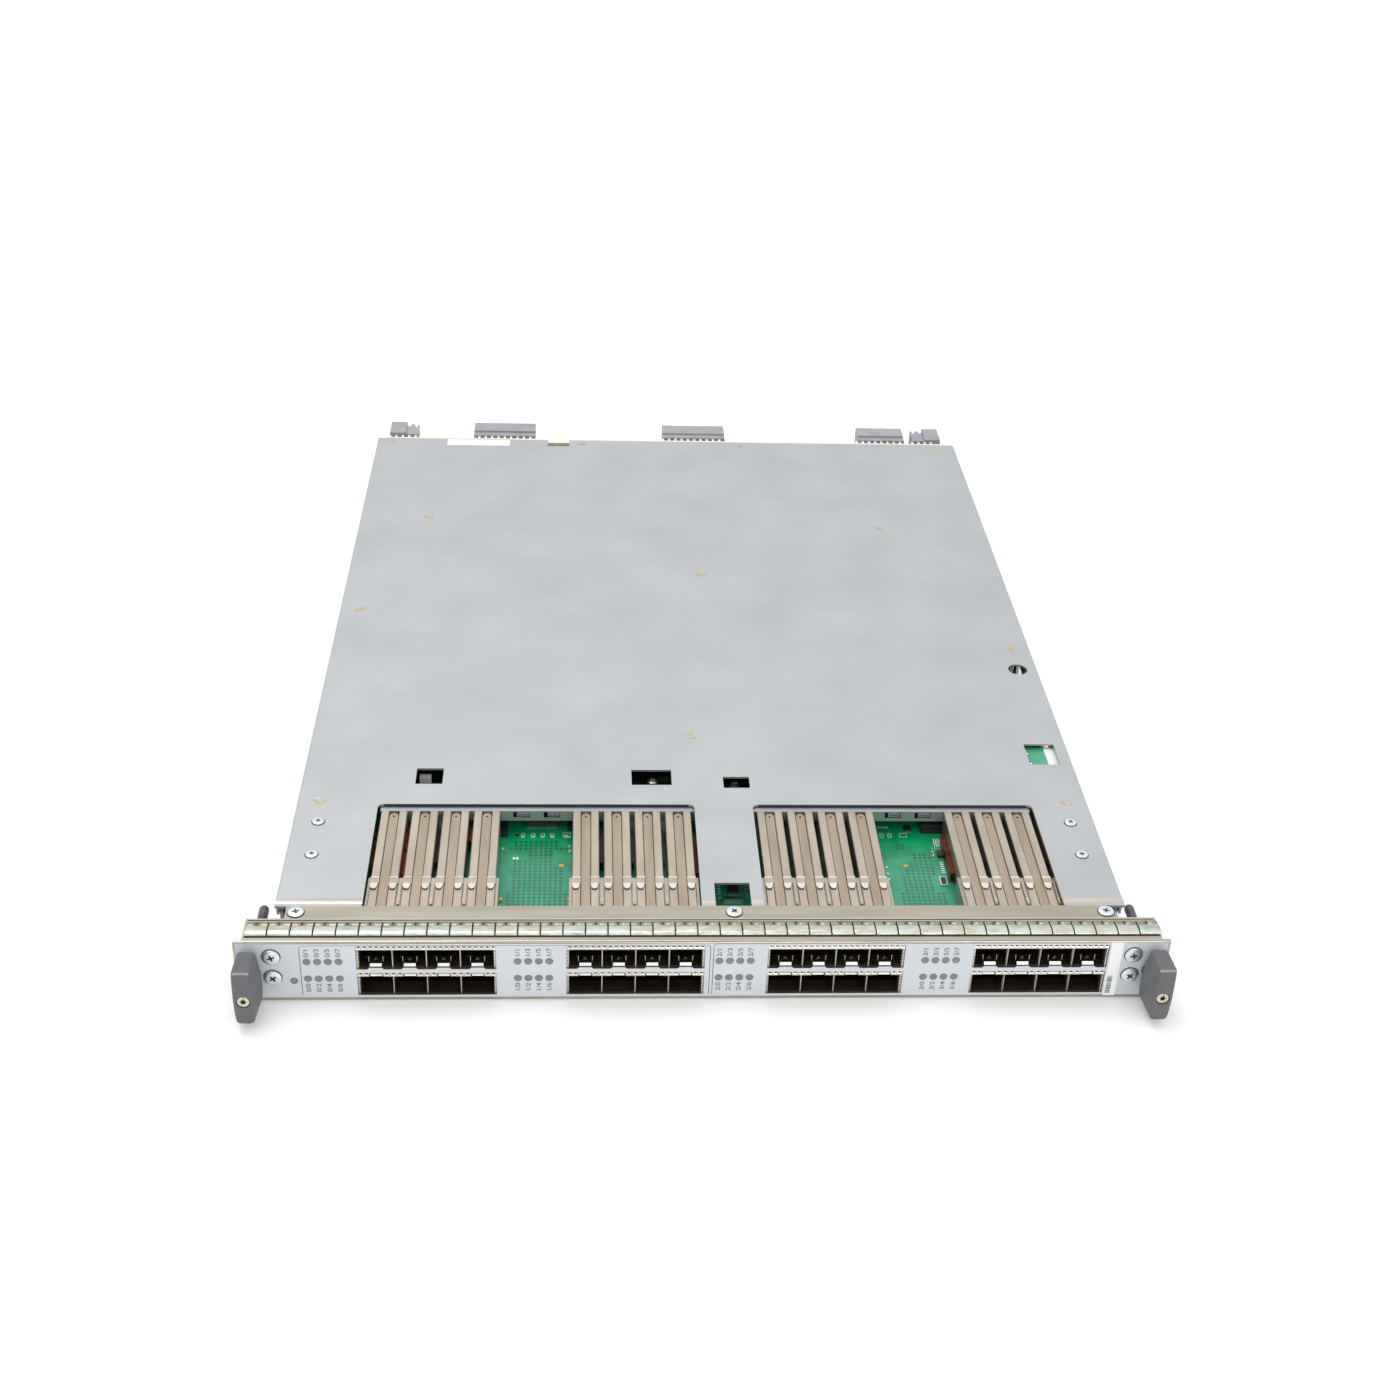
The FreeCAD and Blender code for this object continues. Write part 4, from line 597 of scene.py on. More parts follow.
def spring_strips():
    """Contact fingers round the windows: a strip along each window's top edge, with painted shade for the
    piercings between its fingers, and a wavy one up each end."""
    piece = Piece("window_spring_fingers", ["lip_light", "cavity", "copper", "bright"])
    pitch, half = 2.43, 29.3

    def strip(left, right, low, high):
        """A level strip with a raised finger with a painted highlight, a piercing painted as shade and a
        painted copper glint in every step.
        """
        piece.block((left, 0.40, low), (right, 0.65, high), "lip_light")
        count = max(1, round((right - left) / pitch))
        step = (right - left) / count
        for finger in range(count):
            x = left + (finger + 0.5) * step
            arch = [(0.40, low + 0.1), (0.14, low + 0.5), (0.14, high - 1.4), (0.40, high - 1.0)]
            piece.prism(arch, "yz", x - 0.85, x + 0.85, "bright")
            piece.block((x - 0.42, 0.10, high - 0.95), (x + 0.42, 0.41, high - 0.12), "cavity")
            piece.block((x + 0.44, 0.12, high - 0.80), (x + 0.80, 0.41, high - 0.42), "copper")

    def end_strip(x, lean, low, high):
        """An upright strip whose waves are painted as short dashes of shade."""
        near, far = sorted((x, x + lean * 1.5))
        piece.block((near, 0.5, low), (far, 0.8, high), "lip_light")
        waves = round((high - low) / 1.6)
        for wave in range(waves):
            z = low + (wave + 0.5) * (high - low) / waves
            dash = [(x + lean * 0.25, z - 0.45), (x + lean * 0.9, z - 0.15), (x + lean * 0.9, z + 0.1),
                    (x + lean * 0.25, z + 0.35)]
            piece.prism(dash, "xz", 0.40, 0.51, "cavity")

    for bank in BANKS:
        left, right = bank - half, bank + half
        strip(left, right, 27.25, 29.72)
        stops = [left] + [bank + step * PORT_PITCH for step in FOUR] + [right]
        for number, (first, second) in enumerate(zip(stops, stops[1:])):
            strip(first if number == 0 else first + 2.9, second if number == 4 else second - 2.9, 12.85, 15.2)
        for x, lean in ((left + 0.05, 0.5), (right - 0.05, -0.5)):
            end_strip(x, lean, 17.3, 27.2)
            end_strip(x, lean, 3.2, 12.8)
        # Painted shade along the foot of each port's mouth.
        for step in (-2, -1, 0, 1):
            x = bank + step * PORT_PITCH
            for low, high in ((17.2, 18.2), (3.05, 3.75)):
                piece.block((x + 0.3, 0.9, low), (x + PORT_PITCH - 0.3, 1.5, high), "cavity")
    return piece.done(slot="tin_spring")


def paint_port_shade(shade_piece, x, sign):
    """Painted shade on the walls, roof, floor and rear of one port, with its springs above painted in shaded
    brown.
    """
    wall, side, front, rear = 0.12, 6.9, 3.0, 48.9
    low, high = sorted((BOARD_MIDDLE + sign * 2.56, BOARD_MIDDLE + sign * 11.84))
    left, right = x - side + wall, x + side - wall
    shade_piece.block((x - side, front, low), (left, rear, high))
    shade_piece.block((right, front, low), (x + side, rear, high))
    shade_piece.block((left, front, high - wall), (right, rear, high))
    shade_piece.block((left, 8.0, low), (right, rear, low + wall))
    shade_piece.block((left, rear - wall, low + wall), (right, rear, high - wall))
    shade_piece.block((x + 0.6, 14.0, high - wall - 0.5), (right, 30.0, high - wall), "brown")


def port_latch(parts, x, near, far):
    """The sloped lip at a port's floor, painted with a highlight."""
    lip = [(0.7, near), (1.6, far), (1.8, far - 0.2), (0.9, near - 0.2)]
    parts.prism(lip, "yz", x - 2.5, x + 2.5, "bright")


def latch_catch(parts, x, foot):
    """The latch's triangular catch and the springs beside it, seen in an upper port."""
    low, high = foot + 0.15, foot + 1.75
    # The wedge and the springs' ends take the brown with painted shade.
    wedge = [(x - 1.35, low), (x + 1.35, low), (x + 0.12, high), (x - 0.12, high)]
    parts.prism(wedge, "xz", 3.4, 3.55, "brown")
    parts.prism([(x - 1.0, foot + 0.2), (x, foot + 0.2), (x, foot + 1.5)], "xz", 3.3, 3.4, "cage")
    for edge in (-1, 1):
        for reach, low, high, finish in ((3.1, -0.3, 3.0, "cage"), (3.7, 2.8, 3.05, "brown")):
            left, right = sorted((x + edge * 2.85, x + edge * reach))
            parts.block((left, 2.6, foot + low), (right, 2.9, foot + high), finish)


def port_insides():
    """What shows in each port: painted shade inside it, the latch's lip with a painted highlight and its
    catch, side springs, and the connector at the rear with its row of contacts."""
    shade_piece = Piece("port_painted_shade", ["cavity", "brown"])
    parts = Piece("port_latches", ["bright", "cavity", "cage", "black", "gold", "brown"])
    for x in COLUMNS:
        for sign in (1, -1):
            paint_port_shade(shade_piece, x, sign)
            if sign > 0:
                port_latch(parts, x, 18.2, 19.15)
                latch_catch(parts, x, 19.15)
            else:
                port_latch(parts, x, 12.9, 13.75)
                for start, end in ((-4.9, -3.6), (-2.2, -1.2), (0.3, 2.5), (3.4, 4.8)):
                    parts.block((x + start, 5.0, 9.9), (x + end, 5.2, 10.06), "cage")
            low, high = sorted((BOARD_MIDDLE + sign * 4.6, BOARD_MIDDLE + sign * 9.6))
            parts.block((x - 5.9, 38.0, low), (x + 5.9, 48.7, high), "black")
            low, high = sorted((BOARD_MIDDLE + sign * 6.4, BOARD_MIDDLE + sign * 7.6))
            parts.block((x - 4.2, 37.9, low), (x + 4.2, 38.0, high), "gold")
    shade_piece.done(slot="cage_metal")
    parts.done(slot="cage_metal")


def window_edges():
    """The thin dividers between neighbouring ports, level with the cages' front edges."""
    piece = Piece("cage_dividers", ["cage"])
    for bank in BANKS:
        for step in (-1, 0, 1):
            x = bank + step * PORT_PITCH
            for low, high in ((17.4, 27.2), (3.2, 12.85)):
                piece.block((x - 0.24, 0.9, low), (x + 0.24, 1.62, high))
    return piece.done(edge=0.06, slot="cage_metal")


def gasket():
    """Spring fingers clipped along the top lip: a rolled front band with a slot between every two
    fingers, and a foot with a short slot at the middle of each. Each finger has its own set."""
    piece = Piece("spring_finger_gasket", ["tin", "straw"])
    profile = [(4.06, 31.82), (4.12, 32.25), (4.5, 32.75), (5.3, 33.04), (6.6, 33.14), (8.2, 33.1),
               (9.5, 32.92), (10.35, 32.62), (10.62, 32.3), (10.9, 32.42), (11.6, 32.5), (12.6, 32.45),
               (13.2, 32.25), (13.4, 31.9)]
    foot = 8                                     # the profile's first point of the foot
    slot = 0.24                                  # half a slot's width
    middle = GASKET_PITCH / 2
    columns = [slot, 0.6, 2.4, middle - slot, middle + slot, GASKET_PITCH - 2.4, GASKET_PITCH - 0.6,
               GASKET_PITCH - slot]
    slant = 0.45
    wobble = random.Random(11)
    first = -GASKET_PITCH * FINGERS / 2 + slant
    for finger in range(FINGERS):
        left = first + finger * GASKET_PITCH
        lift = wobble.uniform(-0.10, 0.06)
        tilt = wobble.uniform(-0.06, 0.06)
        grid = []
        for step, across in enumerate(columns):
            set_height = lift + tilt * (across / GASKET_PITCH - 0.5) * 2 - (0.05 if step in (0, 7) else 0.0)
            grid.append([])
            for row, (y, z) in enumerate(profile):
                lean = slant if row > foot and step in (3, 4) else 0.0
                rise = set_height * min(1, row / 3) * (1 if row < foot else 0.3)
                grid[-1].append(piece.mesh.verts.new((left + across - lean, y, z + rise)))
        for column in range(7):
            for row in range(len(profile) - 1):
                if column == 3 and row >= foot:
                    continue
                near, far = grid[column], grid[column + 1]
                face = piece.mesh.faces.new((near[row], far[row], far[row + 1], near[row + 1]))
                piece.paint([face], "straw" if row >= foot else "tin")
    # Painted shade: dark strips under the rolled band and the foot, seen through the slots.
    under = Piece("gasket_painted_shade", ["cavity"])
    under.block((first + 0.3, 4.5, LIP_TOP + 0.01), (-first - 0.3, 10.2, LIP_TOP + 0.3))
    under.block((first + 0.3, 10.7, LIP_TOP + 0.01), (-first - 0.3, 13.3, LIP_TOP + 0.13))
    under.done(slot="tin_spring")
    return piece.done(sheet=0.12, angle=50, slot="tin_spring", replaces=("emi_gasket",))


# ---------------------------------------------------------------- knobs

# Height about the screw's axis and half width there, from the foot up, for the two faces.
KNOB_FRONT = ((-12.0, 2.5), (-11.7, 3.2), (-11.0, 3.7), (-8.5, 4.0), (-5.5, 4.2), (-2.5, 4.3), (0, 4.32),
              (4, 4.28), (8, 4.2), (12, 4.1), (14.3, 3.95), (15.2, 3.75), (15.6, 3.2))
KNOB_BACK = ((-11.6, 4.0), (-11.3, 4.6), (-10.6, 5.0), (-8.5, 5.25), (-5.5, 5.4), (-2.5, 5.48), (0, 5.5),
             (4, 5.25), (8, 4.7), (11.0, 4.25), (12.9, 3.9), (13.8, 3.5), (14.2, 2.9))


def knob(side):
    """Moulded handle, half width against height on its front and back faces: slim in front,
    swelling round the jackscrew behind, with a rolled front rim and a black collar."""
    body = side + "_ejector"
    centre = KNOB_X if side == "right" else -KNOB_X
    piece = Piece(side + "_knob_moulding", ["knob", "black_steel", "knob_rim"], body)
    back, front, sunk = -3.8, -19.6, 2.0         # its two faces, and how deep its screw sits
    rings = []
    rolled = [(0.0, 1.15), (0.12, 0.72), (0.36, 0.36), (0.75, 0.10)]
    straight = [(depth, 0.0) for depth in (1.3, 4.5, 8.5, 12.5, 14.9)]
    for depth, shrink in rolled + straight + [(15.4, 0.12), (15.8, 0.5)]:
        share = max(0.0, (depth - 1.3) / (back - front - 1.3))
        right = []
        for (low, slim), (high, full) in zip(KNOB_FRONT, KNOB_BACK):
            z = low + (high - low) * share
            right.append((slim + (full - slim) * share ** 1.15 - shrink, z * (1 - shrink / 13)))
        ring = right + [(-x, z) for x, z in right[::-1]]
        rings.append([piece.mesh.verts.new((centre + x, front + depth, KNOB_Z + z)) for x, z in ring])
    top = len(KNOB_FRONT) - 1
    for level, (first, second) in enumerate(zip(rings, rings[1:])):
        for i in range(len(first)):
            j = (i + 1) % len(first)
            face = piece.mesh.faces.new((first[i], first[j], second[j], second[i]))
            # Painted highlight: the faces along the top front ridge take the lighter knob_rim finish.
            if level in (1, 2) and top - 1 <= i <= top + 1:
                piece.paint([face], "knob_rim")
    for ring in (rings[0], rings[-1]):
        for i in range(len(ring) // 2 - 1):
            piece.mesh.faces.new([ring[i], ring[i + 1], ring[-i - 2], ring[-i - 1]])
    seat = Piece("tool", ["knob"])
    seat.lathe([(2.95, front - 1), (2.95, front + sunk)], (centre, 0, KNOB_Z), axis="y", steps=36)
    cut(piece, seat, "knob")
    collar = [(4.6, back - 0.5), (4.6, -0.7), (4.3, -0.36), (2.3, -0.36), (2.3, back - 0.5)]
    piece.lathe(collar, (centre, 0, KNOB_Z), axis="y", steps=40, finish="black_steel")
    piece.done(angle=50, slot="knob_plastic", replaces=(side + "_knob",))
    head = star_head(2.75, 1.6)
    screw = Piece(side + "_knob_screw_head", head.finishes, body)
    place = Matrix.Translation((centre, front + sunk, KNOB_Z)) @ Matrix.Rotation(math.pi / 2, 4, "X")
    screw.stamp(head, place)
    screw.done(slot="stainless", replaces=(side + "_knob_screw",))


# ---------------------------------------------------------------- cages

def channels():
    """Pressed channels on the upper cages: two raised bars with round shoulders beside a sunk
    middle whose end is round and pierced. A clip steps up over each bar and ends in a hook."""
    for number, x in enumerate(COLUMNS, 1):
        piece = Piece("channel_pressing_%02d" % number, ["cage", "bright", "cavity", "groove", "lip_dark"])
        # Painted shade under the pressing, seen through the slits beside the sunk middle.
        under = CHANNEL_HALF - 0.2
        piece.block((x - under, 4.6, CHANNEL_BASE - 1.2), (x + under, 97.0, CHANNEL_BASE), "cavity")
        for side in (-1, 1):
            channel_bar(piece, x, side)
            clip_tab(piece, x + side * (4.35 if side < 0 else 3.9), side)
            skirt = x + side * (CHANNEL_HALF - 0.25)
            piece.block((skirt - 0.25, 50.2, 19.4), (skirt + 0.25, 97.4, CHANNEL_BASE - 0.5), "cage")
        tongue = [(x - CHANNEL_GROOVE, 4.5), (x + CHANNEL_GROOVE, 4.5)]
        for turn in range(0, 181, 20):
            angle = math.radians(turn)
            tongue.append((x + CHANNEL_GROOVE * math.cos(angle), 95.0 + 2.3 * math.sin(angle)))
        piece.prism(tongue, "xy", CHANNEL_SUNK - 0.5, CHANNEL_SUNK, "groove")
        # Painted shade: a dark disc where the sunk end is pierced.
        piece.prism(disc(x, 94.6, 0.6, 12), "xy", CHANNEL_SUNK - 0.02, CHANNEL_SUNK + 0.02, "cavity")
        if number % 4:
            channel_strap(piece, x + PORT_PITCH / 2)
        piece.done(edge=0.08, slot="cage_metal", replaces=("cage_channel_%02d" % number,))


def channel_bar(piece, x, side):
    """One raised bar: low before the clip, then a step up over it, and high behind."""
    a, b = sorted((side * CHANNEL_HALF, side * (CHANNEL_GROOVE + 0.22)))
    a, b = x + a, x + b
    shoulder = 0.3
    for start, end, drop in ((48.2, 97.9, 0.0), (4.5, 43.8, 0.35)):
        top = CHANNEL_TOP - drop
        bar = [(a, CHANNEL_BASE - 0.6), (b, CHANNEL_BASE - 0.6), (b, top - 0.35), (b - shoulder, top),
               (a + shoulder, top), (a, top - 0.35)]
        piece.prism(bar, "xz", start, end, "cage")
    piece.block((a, 43.8, CHANNEL_BASE), (b, 47.6, CHANNEL_TOP + 0.05), "cage")
    # Painted highlight along the edge of the step.
    piece.block((a, 47.6, CHANNEL_BASE), (b, 48.3, CHANNEL_TOP + 0.35), "bright")


def clip_tab(piece, x, side):
    """The clip's round-ended tab with a painted highlight, bent down a little, and the painted shade below
    it.
    """
    root = 43.9
    tab = [(1.7, root), (1.5, 41.6), (1.0, 40.4), (0.3, 39.9)]
    outline = [(-tab[0][0], root)] + tab + [(-reach, y) for reach, y in tab[:0:-1]]
    rings = [[piece.mesh.verts.new((x + reach, y, CHANNEL_TOP + lift + bulge * (root - y) / 4))
              for reach, y in outline] for lift, bulge in ((0.22, 0.15), (-0.05, 0.0))]
    faces = [piece.mesh.faces.new(rings[0]), piece.mesh.faces.new(rings[1][::-1])]
    for i in range(len(outline)):
        faces.append(piece.mesh.faces.new((rings[0][i], rings[0][i - 1], rings[1][i - 1], rings[1][i])))
    piece.paint(faces, "bright")
    shade = [(x + side * reach, y) for reach, y in ((-1.7, 43.8), (1.75, 43.8), (1.2, 39.4), (-0.2, 39.2),
                                                    (-1.2, 39.7))]
    piece.prism(shade, "xy", CHANNEL_TOP - 0.36, CHANNEL_TOP - 0.33, "lip_dark")


def channel_strap(piece, x):
    """The strap between two channels of a group, with a raised oval: a painted highlight round a painted
    shade in its middle.
    """
    level = CHANNEL_TOP - 0.5
    piece.block((x - 0.62, 30.0, CHANNEL_BASE), (x + 0.62, 46.0, level), "cage")
    piece.block((x - 0.62, 4.5, CHANNEL_BASE - 0.9), (x + 0.62, 30.0, CHANNEL_BASE - 0.3), "groove")
    for radius, rise, finish in ((0.62, 0.22, "bright"), (0.341, 0.24, "lip_dark")):
        oval = [(a, 32.6 + (b - 32.6) * 1.7) for a, b in disc(x, 32.6, radius, 14)]
        piece.prism(oval, "xy", level, level + rise, finish)


# ---------------------------------------------------------------- board

# First and last pad in each row of the two fields of pads, from the front row back.
LEFT_PADS = [(0, 11)] * 4 + [(1, 10)] * 8 + [(1, 8)] * 2 + [(4, 8)] * 3 + [(0, 11)] + [(1, 9)] * 2
RIGHT_PADS = [(0, 8)] * 4 + [(1, 6)] * 5 + [(2, 7)] * 4 + [(4, 8), (4, 7), (4, 6), (1, 0)] + [(1, 2)] * 2


class Board(Piece):
    """A piece that gathers small parts standing on the board."""

    def lump(self, x0, y0, x1, y1, tall, finish="black", base=BOARD_TOP):
        """A block from a corner to the opposite one, so tall above its base."""
        self.block((x0, y0, base), (x1, y1, base + tall), finish)

    def chip_part(self, x, y, long=1.6, wide=0.8, tall=0.7):
        """A two-ended ceramic part with plated ends."""
        a, b = long / 2, wide / 2
        self.lump(x - a, y - b, x + a, y + b, tall, "screw")
        self.lump(x - a + 0.35, y - b - 0.02, x + a - 0.35, y + b + 0.02, tall + 0.02, "ceramic")

    def ink(self, x0, y0, x1, y1):
        """A printed white bar."""
        self.lump(x0, y0, x1, y1, 0.04, "silk")

    def ink_frame(self, x0, y0, x1, y1, line=0.18):
        """A printed outline of a rectangle."""
        self.ink(x0, y0, x1, y0 + line)
        self.ink(x0, y1 - line, x1, y1)
        self.ink(x0, y0, x0 + line, y1)
        self.ink(x1 - line, y0, x1, y1)

    def marked_part(self, x, front, middle, rear):
        """A two-ended part in a printed frame."""
        self.ink_frame(x - 0.9, front, x + 0.9, rear)
        self.chip_part(x, middle, 1.3, 0.7)

    def pad(self, x, y, radius, finish="gold"):
        """A round pad or test point."""
        self.prism(disc(x, y, radius, 16), "xy", BOARD_TOP, BOARD_TOP + 0.05, finish)

    def chip(self, x, y, wide, deep, tall, leads, pitch=1.27, reach=1.0):
        """A moulded package with a row of leads on its front and back."""
        self.lump(x - wide / 2, y - deep / 2, x + wide / 2, y + deep / 2, tall - 0.1, base=BOARD_TOP + 0.1)
        for side in (-1, 1):
            for lead in range(leads):
                centre = x + (lead - (leads - 1) / 2) * pitch
                near, far = sorted((y + side * deep / 2, y + side * (deep / 2 + reach)))
                self.lump(centre - 0.2, near, centre + 0.2, far, 0.45, "screw")

    def pad_field(self, left, front, rows, dark_from):
        """Rows of square masked pads. The resist is darker from dark_from back."""
        half = 0.84
        for row, (first, last) in enumerate(rows):
            y = front + row * 2.42
            finish = "masked" if y < dark_from else "masked_dark"
            for column in range(first, last + 1):
                x = left + column * 2.33
                outline = rounded((x - half, y - half), (x + half, y + half), 0.6, 2)
                self.prism(outline, "xy", BOARD_TOP, BOARD_TOP + 0.03, finish)


def small_parts():
    """What the cut-outs and windows in the cover show of the board."""
    piece = Board("board_components", ["black", "ceramic", "screw", "gold", "silk", "masked", "masked_dark",
                                       "copper", "cream", "cage", "lit_resist", "housing"])
    left_cut_out(piece)
    right_cut_out(piece)
    between_channels(piece)
    cover_windows(piece)
    return piece.done(slot="board_laminate")


def left_cut_out(piece):
    """Between the left pair of port groups: pads, test points, four marked parts and connectors."""
    piece.pad_field(-86.6, 44.6, LEFT_PADS, 80)
    piece.pad(-84.0, 96.0, 0.95)
    piece.pad(-84.0, 96.0, 0.45, "black")
    for x in (-81.3, -76.5, -72.1, -67.7):
        piece.marked_part(x, 94.2, 96.8, 97.9)
        piece.ink(x - 0.5, 94.9, x + 0.5, 95.4)
    piece.ink(-61.9, 94.6, -59.4, 95.0)
    piece.ink(-62.2, 95.6, -60.3, 96.2)
    piece.ink_frame(-62.6, 94.2, -59.2, 98.2)
    piece.ink(-85.4, 77.4, -84.4, 79.2)
    piece.ink(-83.9, 77.4, -82.9, 79.2)
    for x, y, radius, finish in ((-63.1, 72.8, 1.15, "gold"), (-89.8, 48.6, 0.9, "gold"),
                                 (-89.8, 46.2, 0.7, "black"), (-59.3, 48.6, 0.9, "gold")):
        piece.pad(x, y, radius, finish)
    for index in range(12):
        x = -79.0 + index * 1.15
        piece.lump(x - 0.3, 101.6, x + 0.3, 103.4, 0.5, "screw")
    piece.lump(-80.5, 103.2, -64.5, 108.5, 3.0)
    piece.lump(-91.3, 94.5, -88.4, 104.0, 2.4)
    piece.lump(-60.6, 99.5, -58.0, 104.5, 2.4)
    for x, y in ((-90.2, 84.6), (-59.6, 86.5), (-59.4, 83.0)):
        piece.chip_part(x, y, 0.8, 1.6)


def right_cut_out(piece):
    """Between the right pair: pads, a small regulator, a black header and an eight-lead chip."""
    piece.pad_field(91.4, 44.8, RIGHT_PADS, 77)
    for x in (87.3, 91.1):
        piece.marked_part(x, 94.4, 96.6, 98.0)
    for index in range(5):
        x = 86.4 + index * 1.1
        piece.ink(x, 101.6, x + 0.5, 103.4)
    piece.chip(100.2, 101.0, 3.2, 3.2, 1.3, 3, 0.95, 0.7)
    piece.ink_frame(95.8, 94.8, 99.3, 97.9)
    piece.pad(100.4, 96.6, 0.6)
    piece.lump(106.2, 98.6, 122.0, 107.5, 4.5)
    piece.lump(106.2, 97.6, 122.0, 98.6, 2.0)
    for index in range(7):
        x = 111.3 + index * 0.85
        piece.ink(x, 87.4, x + 0.32, 93.6)
    piece.chip(113.9, 80.6, 5.0, 3.9, 1.5, 4)
    for index in range(7):
        x = 109.9 + index * 1.2
        piece.lump(x - 0.28, 84.9, x + 0.28, 86.2, 0.4, "screw")
    for y in (82.6, 80.2):
        piece.chip_part(109.5, y, 0.8, 1.3)
    piece.pad(95.7, 72.8, 1.15)
    for x in (112.6, 116.5):
        for index in range(6):
            y = 67.5 + index * 1.45
            piece.ink(x - 0.8, y, x + 0.8, y + 0.6)
    piece.lump(109.6, 57.6, 112.8, 63.6, 0.9, "screw")
    piece.lump(110.1, 58.3, 112.3, 62.9, 0.25, base=BOARD_TOP + 0.85)
    piece.lump(114.4, 58.6, 116.6, 64.8, 1.0, "screw")
    piece.pad(115.4, 48.4, 0.9)
    for x, y in ((116.2, 50.0), (116.2, 52.4), (116.2, 54.6), (86.4, 62.0), (86.4, 66.0), (86.4, 71.0)):
        piece.chip_part(x, y, 0.8, 1.4)


def between_channels(piece):
    """In the gaps between the pressings, behind the cross bar's windows and in the shade of the
    cover's cut edges."""
    for x0, x1, y0, y1 in ((-148.6, -146.8, 62, 95), (-134.2, -132.2, 58, 95), (-105.6, -103.6, 84, 96),
                           (-3.1, -1.2, 60, 88), (114.0, 115.8, 60, 90)):
        piece.lump(x0, y0, x1, y1, 5.5, "copper")
    for x in (-119.0, -45.0, 39.2, 68.7, 128.8, 157.4, -31.0, -17.0):
        piece.lump(x - 1.0, 70.0, x + 1.0, 95.0, 4.0)
        piece.chip_part(x, 60.0, 1.0, 1.8, 0.9)
    for x in (-80.3, -66.1, 93.7, 107.9):
        piece.lump(x - 3.7, 99.0, x + 3.7, 101.0, 3.1, "housing", base=25.1)
        for shift in (-2.2, 0.0, 2.2):
            piece.lump(x + shift - 0.9, 98.9, x + shift + 0.9, 99.0, 0.4, base=25.7)
    # Painted shade: thin black strips under the cover's cut edges.
    for left, right in ((-145.3, -4.2), (28.6, 155.4)):
        piece.lump(left, 101.0, right, 101.15, 1.4, base=28.9)


def cover_windows(piece):
    """What the cover's windows show. Under the square one, a plate of paler green with painted light stands
    just below the sheet, with small parts along its left side and a white panel on its right."""
    piece.lump(-134.5, 138.0, -121.5, 149.5, 3.0)
    piece.lump(-131.5, 131.0, -126.0, 133.6, 5.5, "cream", base=BOARD_TOP + 3.0)
    piece.lump(-126.6, 141.3, -123.0, 145.8, 4.0)
    piece.lump(-30.0, 138.0, -10.5, 149.5, 2.0)
    for index in range(5):
        x = -17.0 + index * 1.3
        piece.lump(x, 137.0, x + 0.6, 137.6, 3.0, "gold", base=BOARD_TOP + 2.0)
    piece.lump(15.4, 135.0, 27.6, 144.0, 2.0)
    piece.chip(14.4, 54.6, 5.2, 4.2, 1.6, 4)
    for index in range(4):
        piece.chip_part(8.0 + index * 2.4, 49.4, 1.3, 0.8)
        piece.chip_part(20.4, 50.4 + index * 2.2, 1.3, 0.8)
        piece.ink(7.4, 52.0 + index * 1.8, 8.8, 52.5 + index * 1.8)
    piece.lump(10.0, 46.6, 18.6, 48.2, 1.4, "screw")
    # Painted light: a plate of lit resist raised close under the window, standing in for the board below it.
    lit_plate_top = 27.6
    piece.lump(162.6, 133.6, 181.0, 154.6, 1.2, "lit_resist", base=lit_plate_top - 1.2)
    piece.lump(174.6, 133.8, 180.8, 154.4, 0.12, "silk", base=lit_plate_top)
    for x, y, finish in ((165.6, 137.0, "ceramic"), (167.0, 137.2, "copper"), (165.5, 139.4, "silk"),
                         (165.2, 142.0, "ceramic"), (165.0, 150.4, "ceramic"), (165.2, 148.0, "silk")):
        piece.lump(x - 0.7, y - 0.55, x + 0.7, y + 0.55, 0.7, finish, base=lit_plate_top)


def window_posts():
    """Hollow spacers that the small windows show."""
    piece = Piece("window_posts", ["stainless", "recess"])
    post = [(2.6, BOARD_TOP), (2.6, 24.0), (1.9, 24.4), (1.2, 24.4), (1.2, 22.8), (0, 22.8)]
    for x, y in ((-20.0, 130.0), (19.4, 127.6)):
        piece.lathe(post, (x, y, 0), steps=28, finish="stainless")
    return piece.done(slot="stainless")


# ---------------------------------------------------------------- cover, rear

def cover_marks():
    """Two shallow embossed rectangles."""
    piece = Piece("cover_embossing", ["zinc"])
    for x, y in ((-101.6, 141.6), (98.8, 143.0)):
        rings = []
        for half, radius, rise in ((5.0, 0.8, 0.001), (4.8, 0.7, 0.05), (4.6, 0.6, 0.001)):
            outline = rounded((x - half, y - half - 0.5), (x + half, y + half + 0.5), radius)
            rings.append([piece.mesh.verts.new((a, b, COVER_TOP + rise)) for a, b in outline])
        for ring, following in zip(rings, rings[1:] + rings[:1]):
            for i in range(len(ring)):
                j = (i + 1) % len(ring)
                piece.mesh.faces.new((ring[i], ring[j], following[j], following[i]))
    return piece.done(slot="zinc_sheet")


def cover_hem():
    """The cover's front edge rolls down to the flange: a bend with a painted highlight, and a fine painted
    shadow before it.
    """
    piece = Piece("cover_front_hem", ["lip_light", "zinc", "lip_dark"])
    for left, right in COVER_FRONTS:
        curve = ((31.3, 0.02), (30.1, 0.02), (28.9, -0.06), (27.9, -0.25), (27.9, -0.9), (31.3, -0.9))
        bend = [(y, COVER_TOP + rise) for y, rise in curve]
        piece.prism(bend, "yz", left, right, "lip_light")
        piece.block((left, 25.8, COVER_TOP - 1.2), (right, 27.5, COVER_TOP + 0.03), "zinc")
        piece.block((left, 27.5, COVER_TOP - 1.2), (right, 27.9, COVER_TOP - 0.4), "lip_dark")
    return piece.done(slot="zinc_sheet")


def rear_label():
    """Bare white label near the cover's rear edge."""
    piece = Piece("cover_label", ["paper"])
    piece.block((-140.9, 492.0, COVER_TOP), (-101.5, 500.2, COVER_TOP + 0.08))
    return piece.done(slot="printed_film")


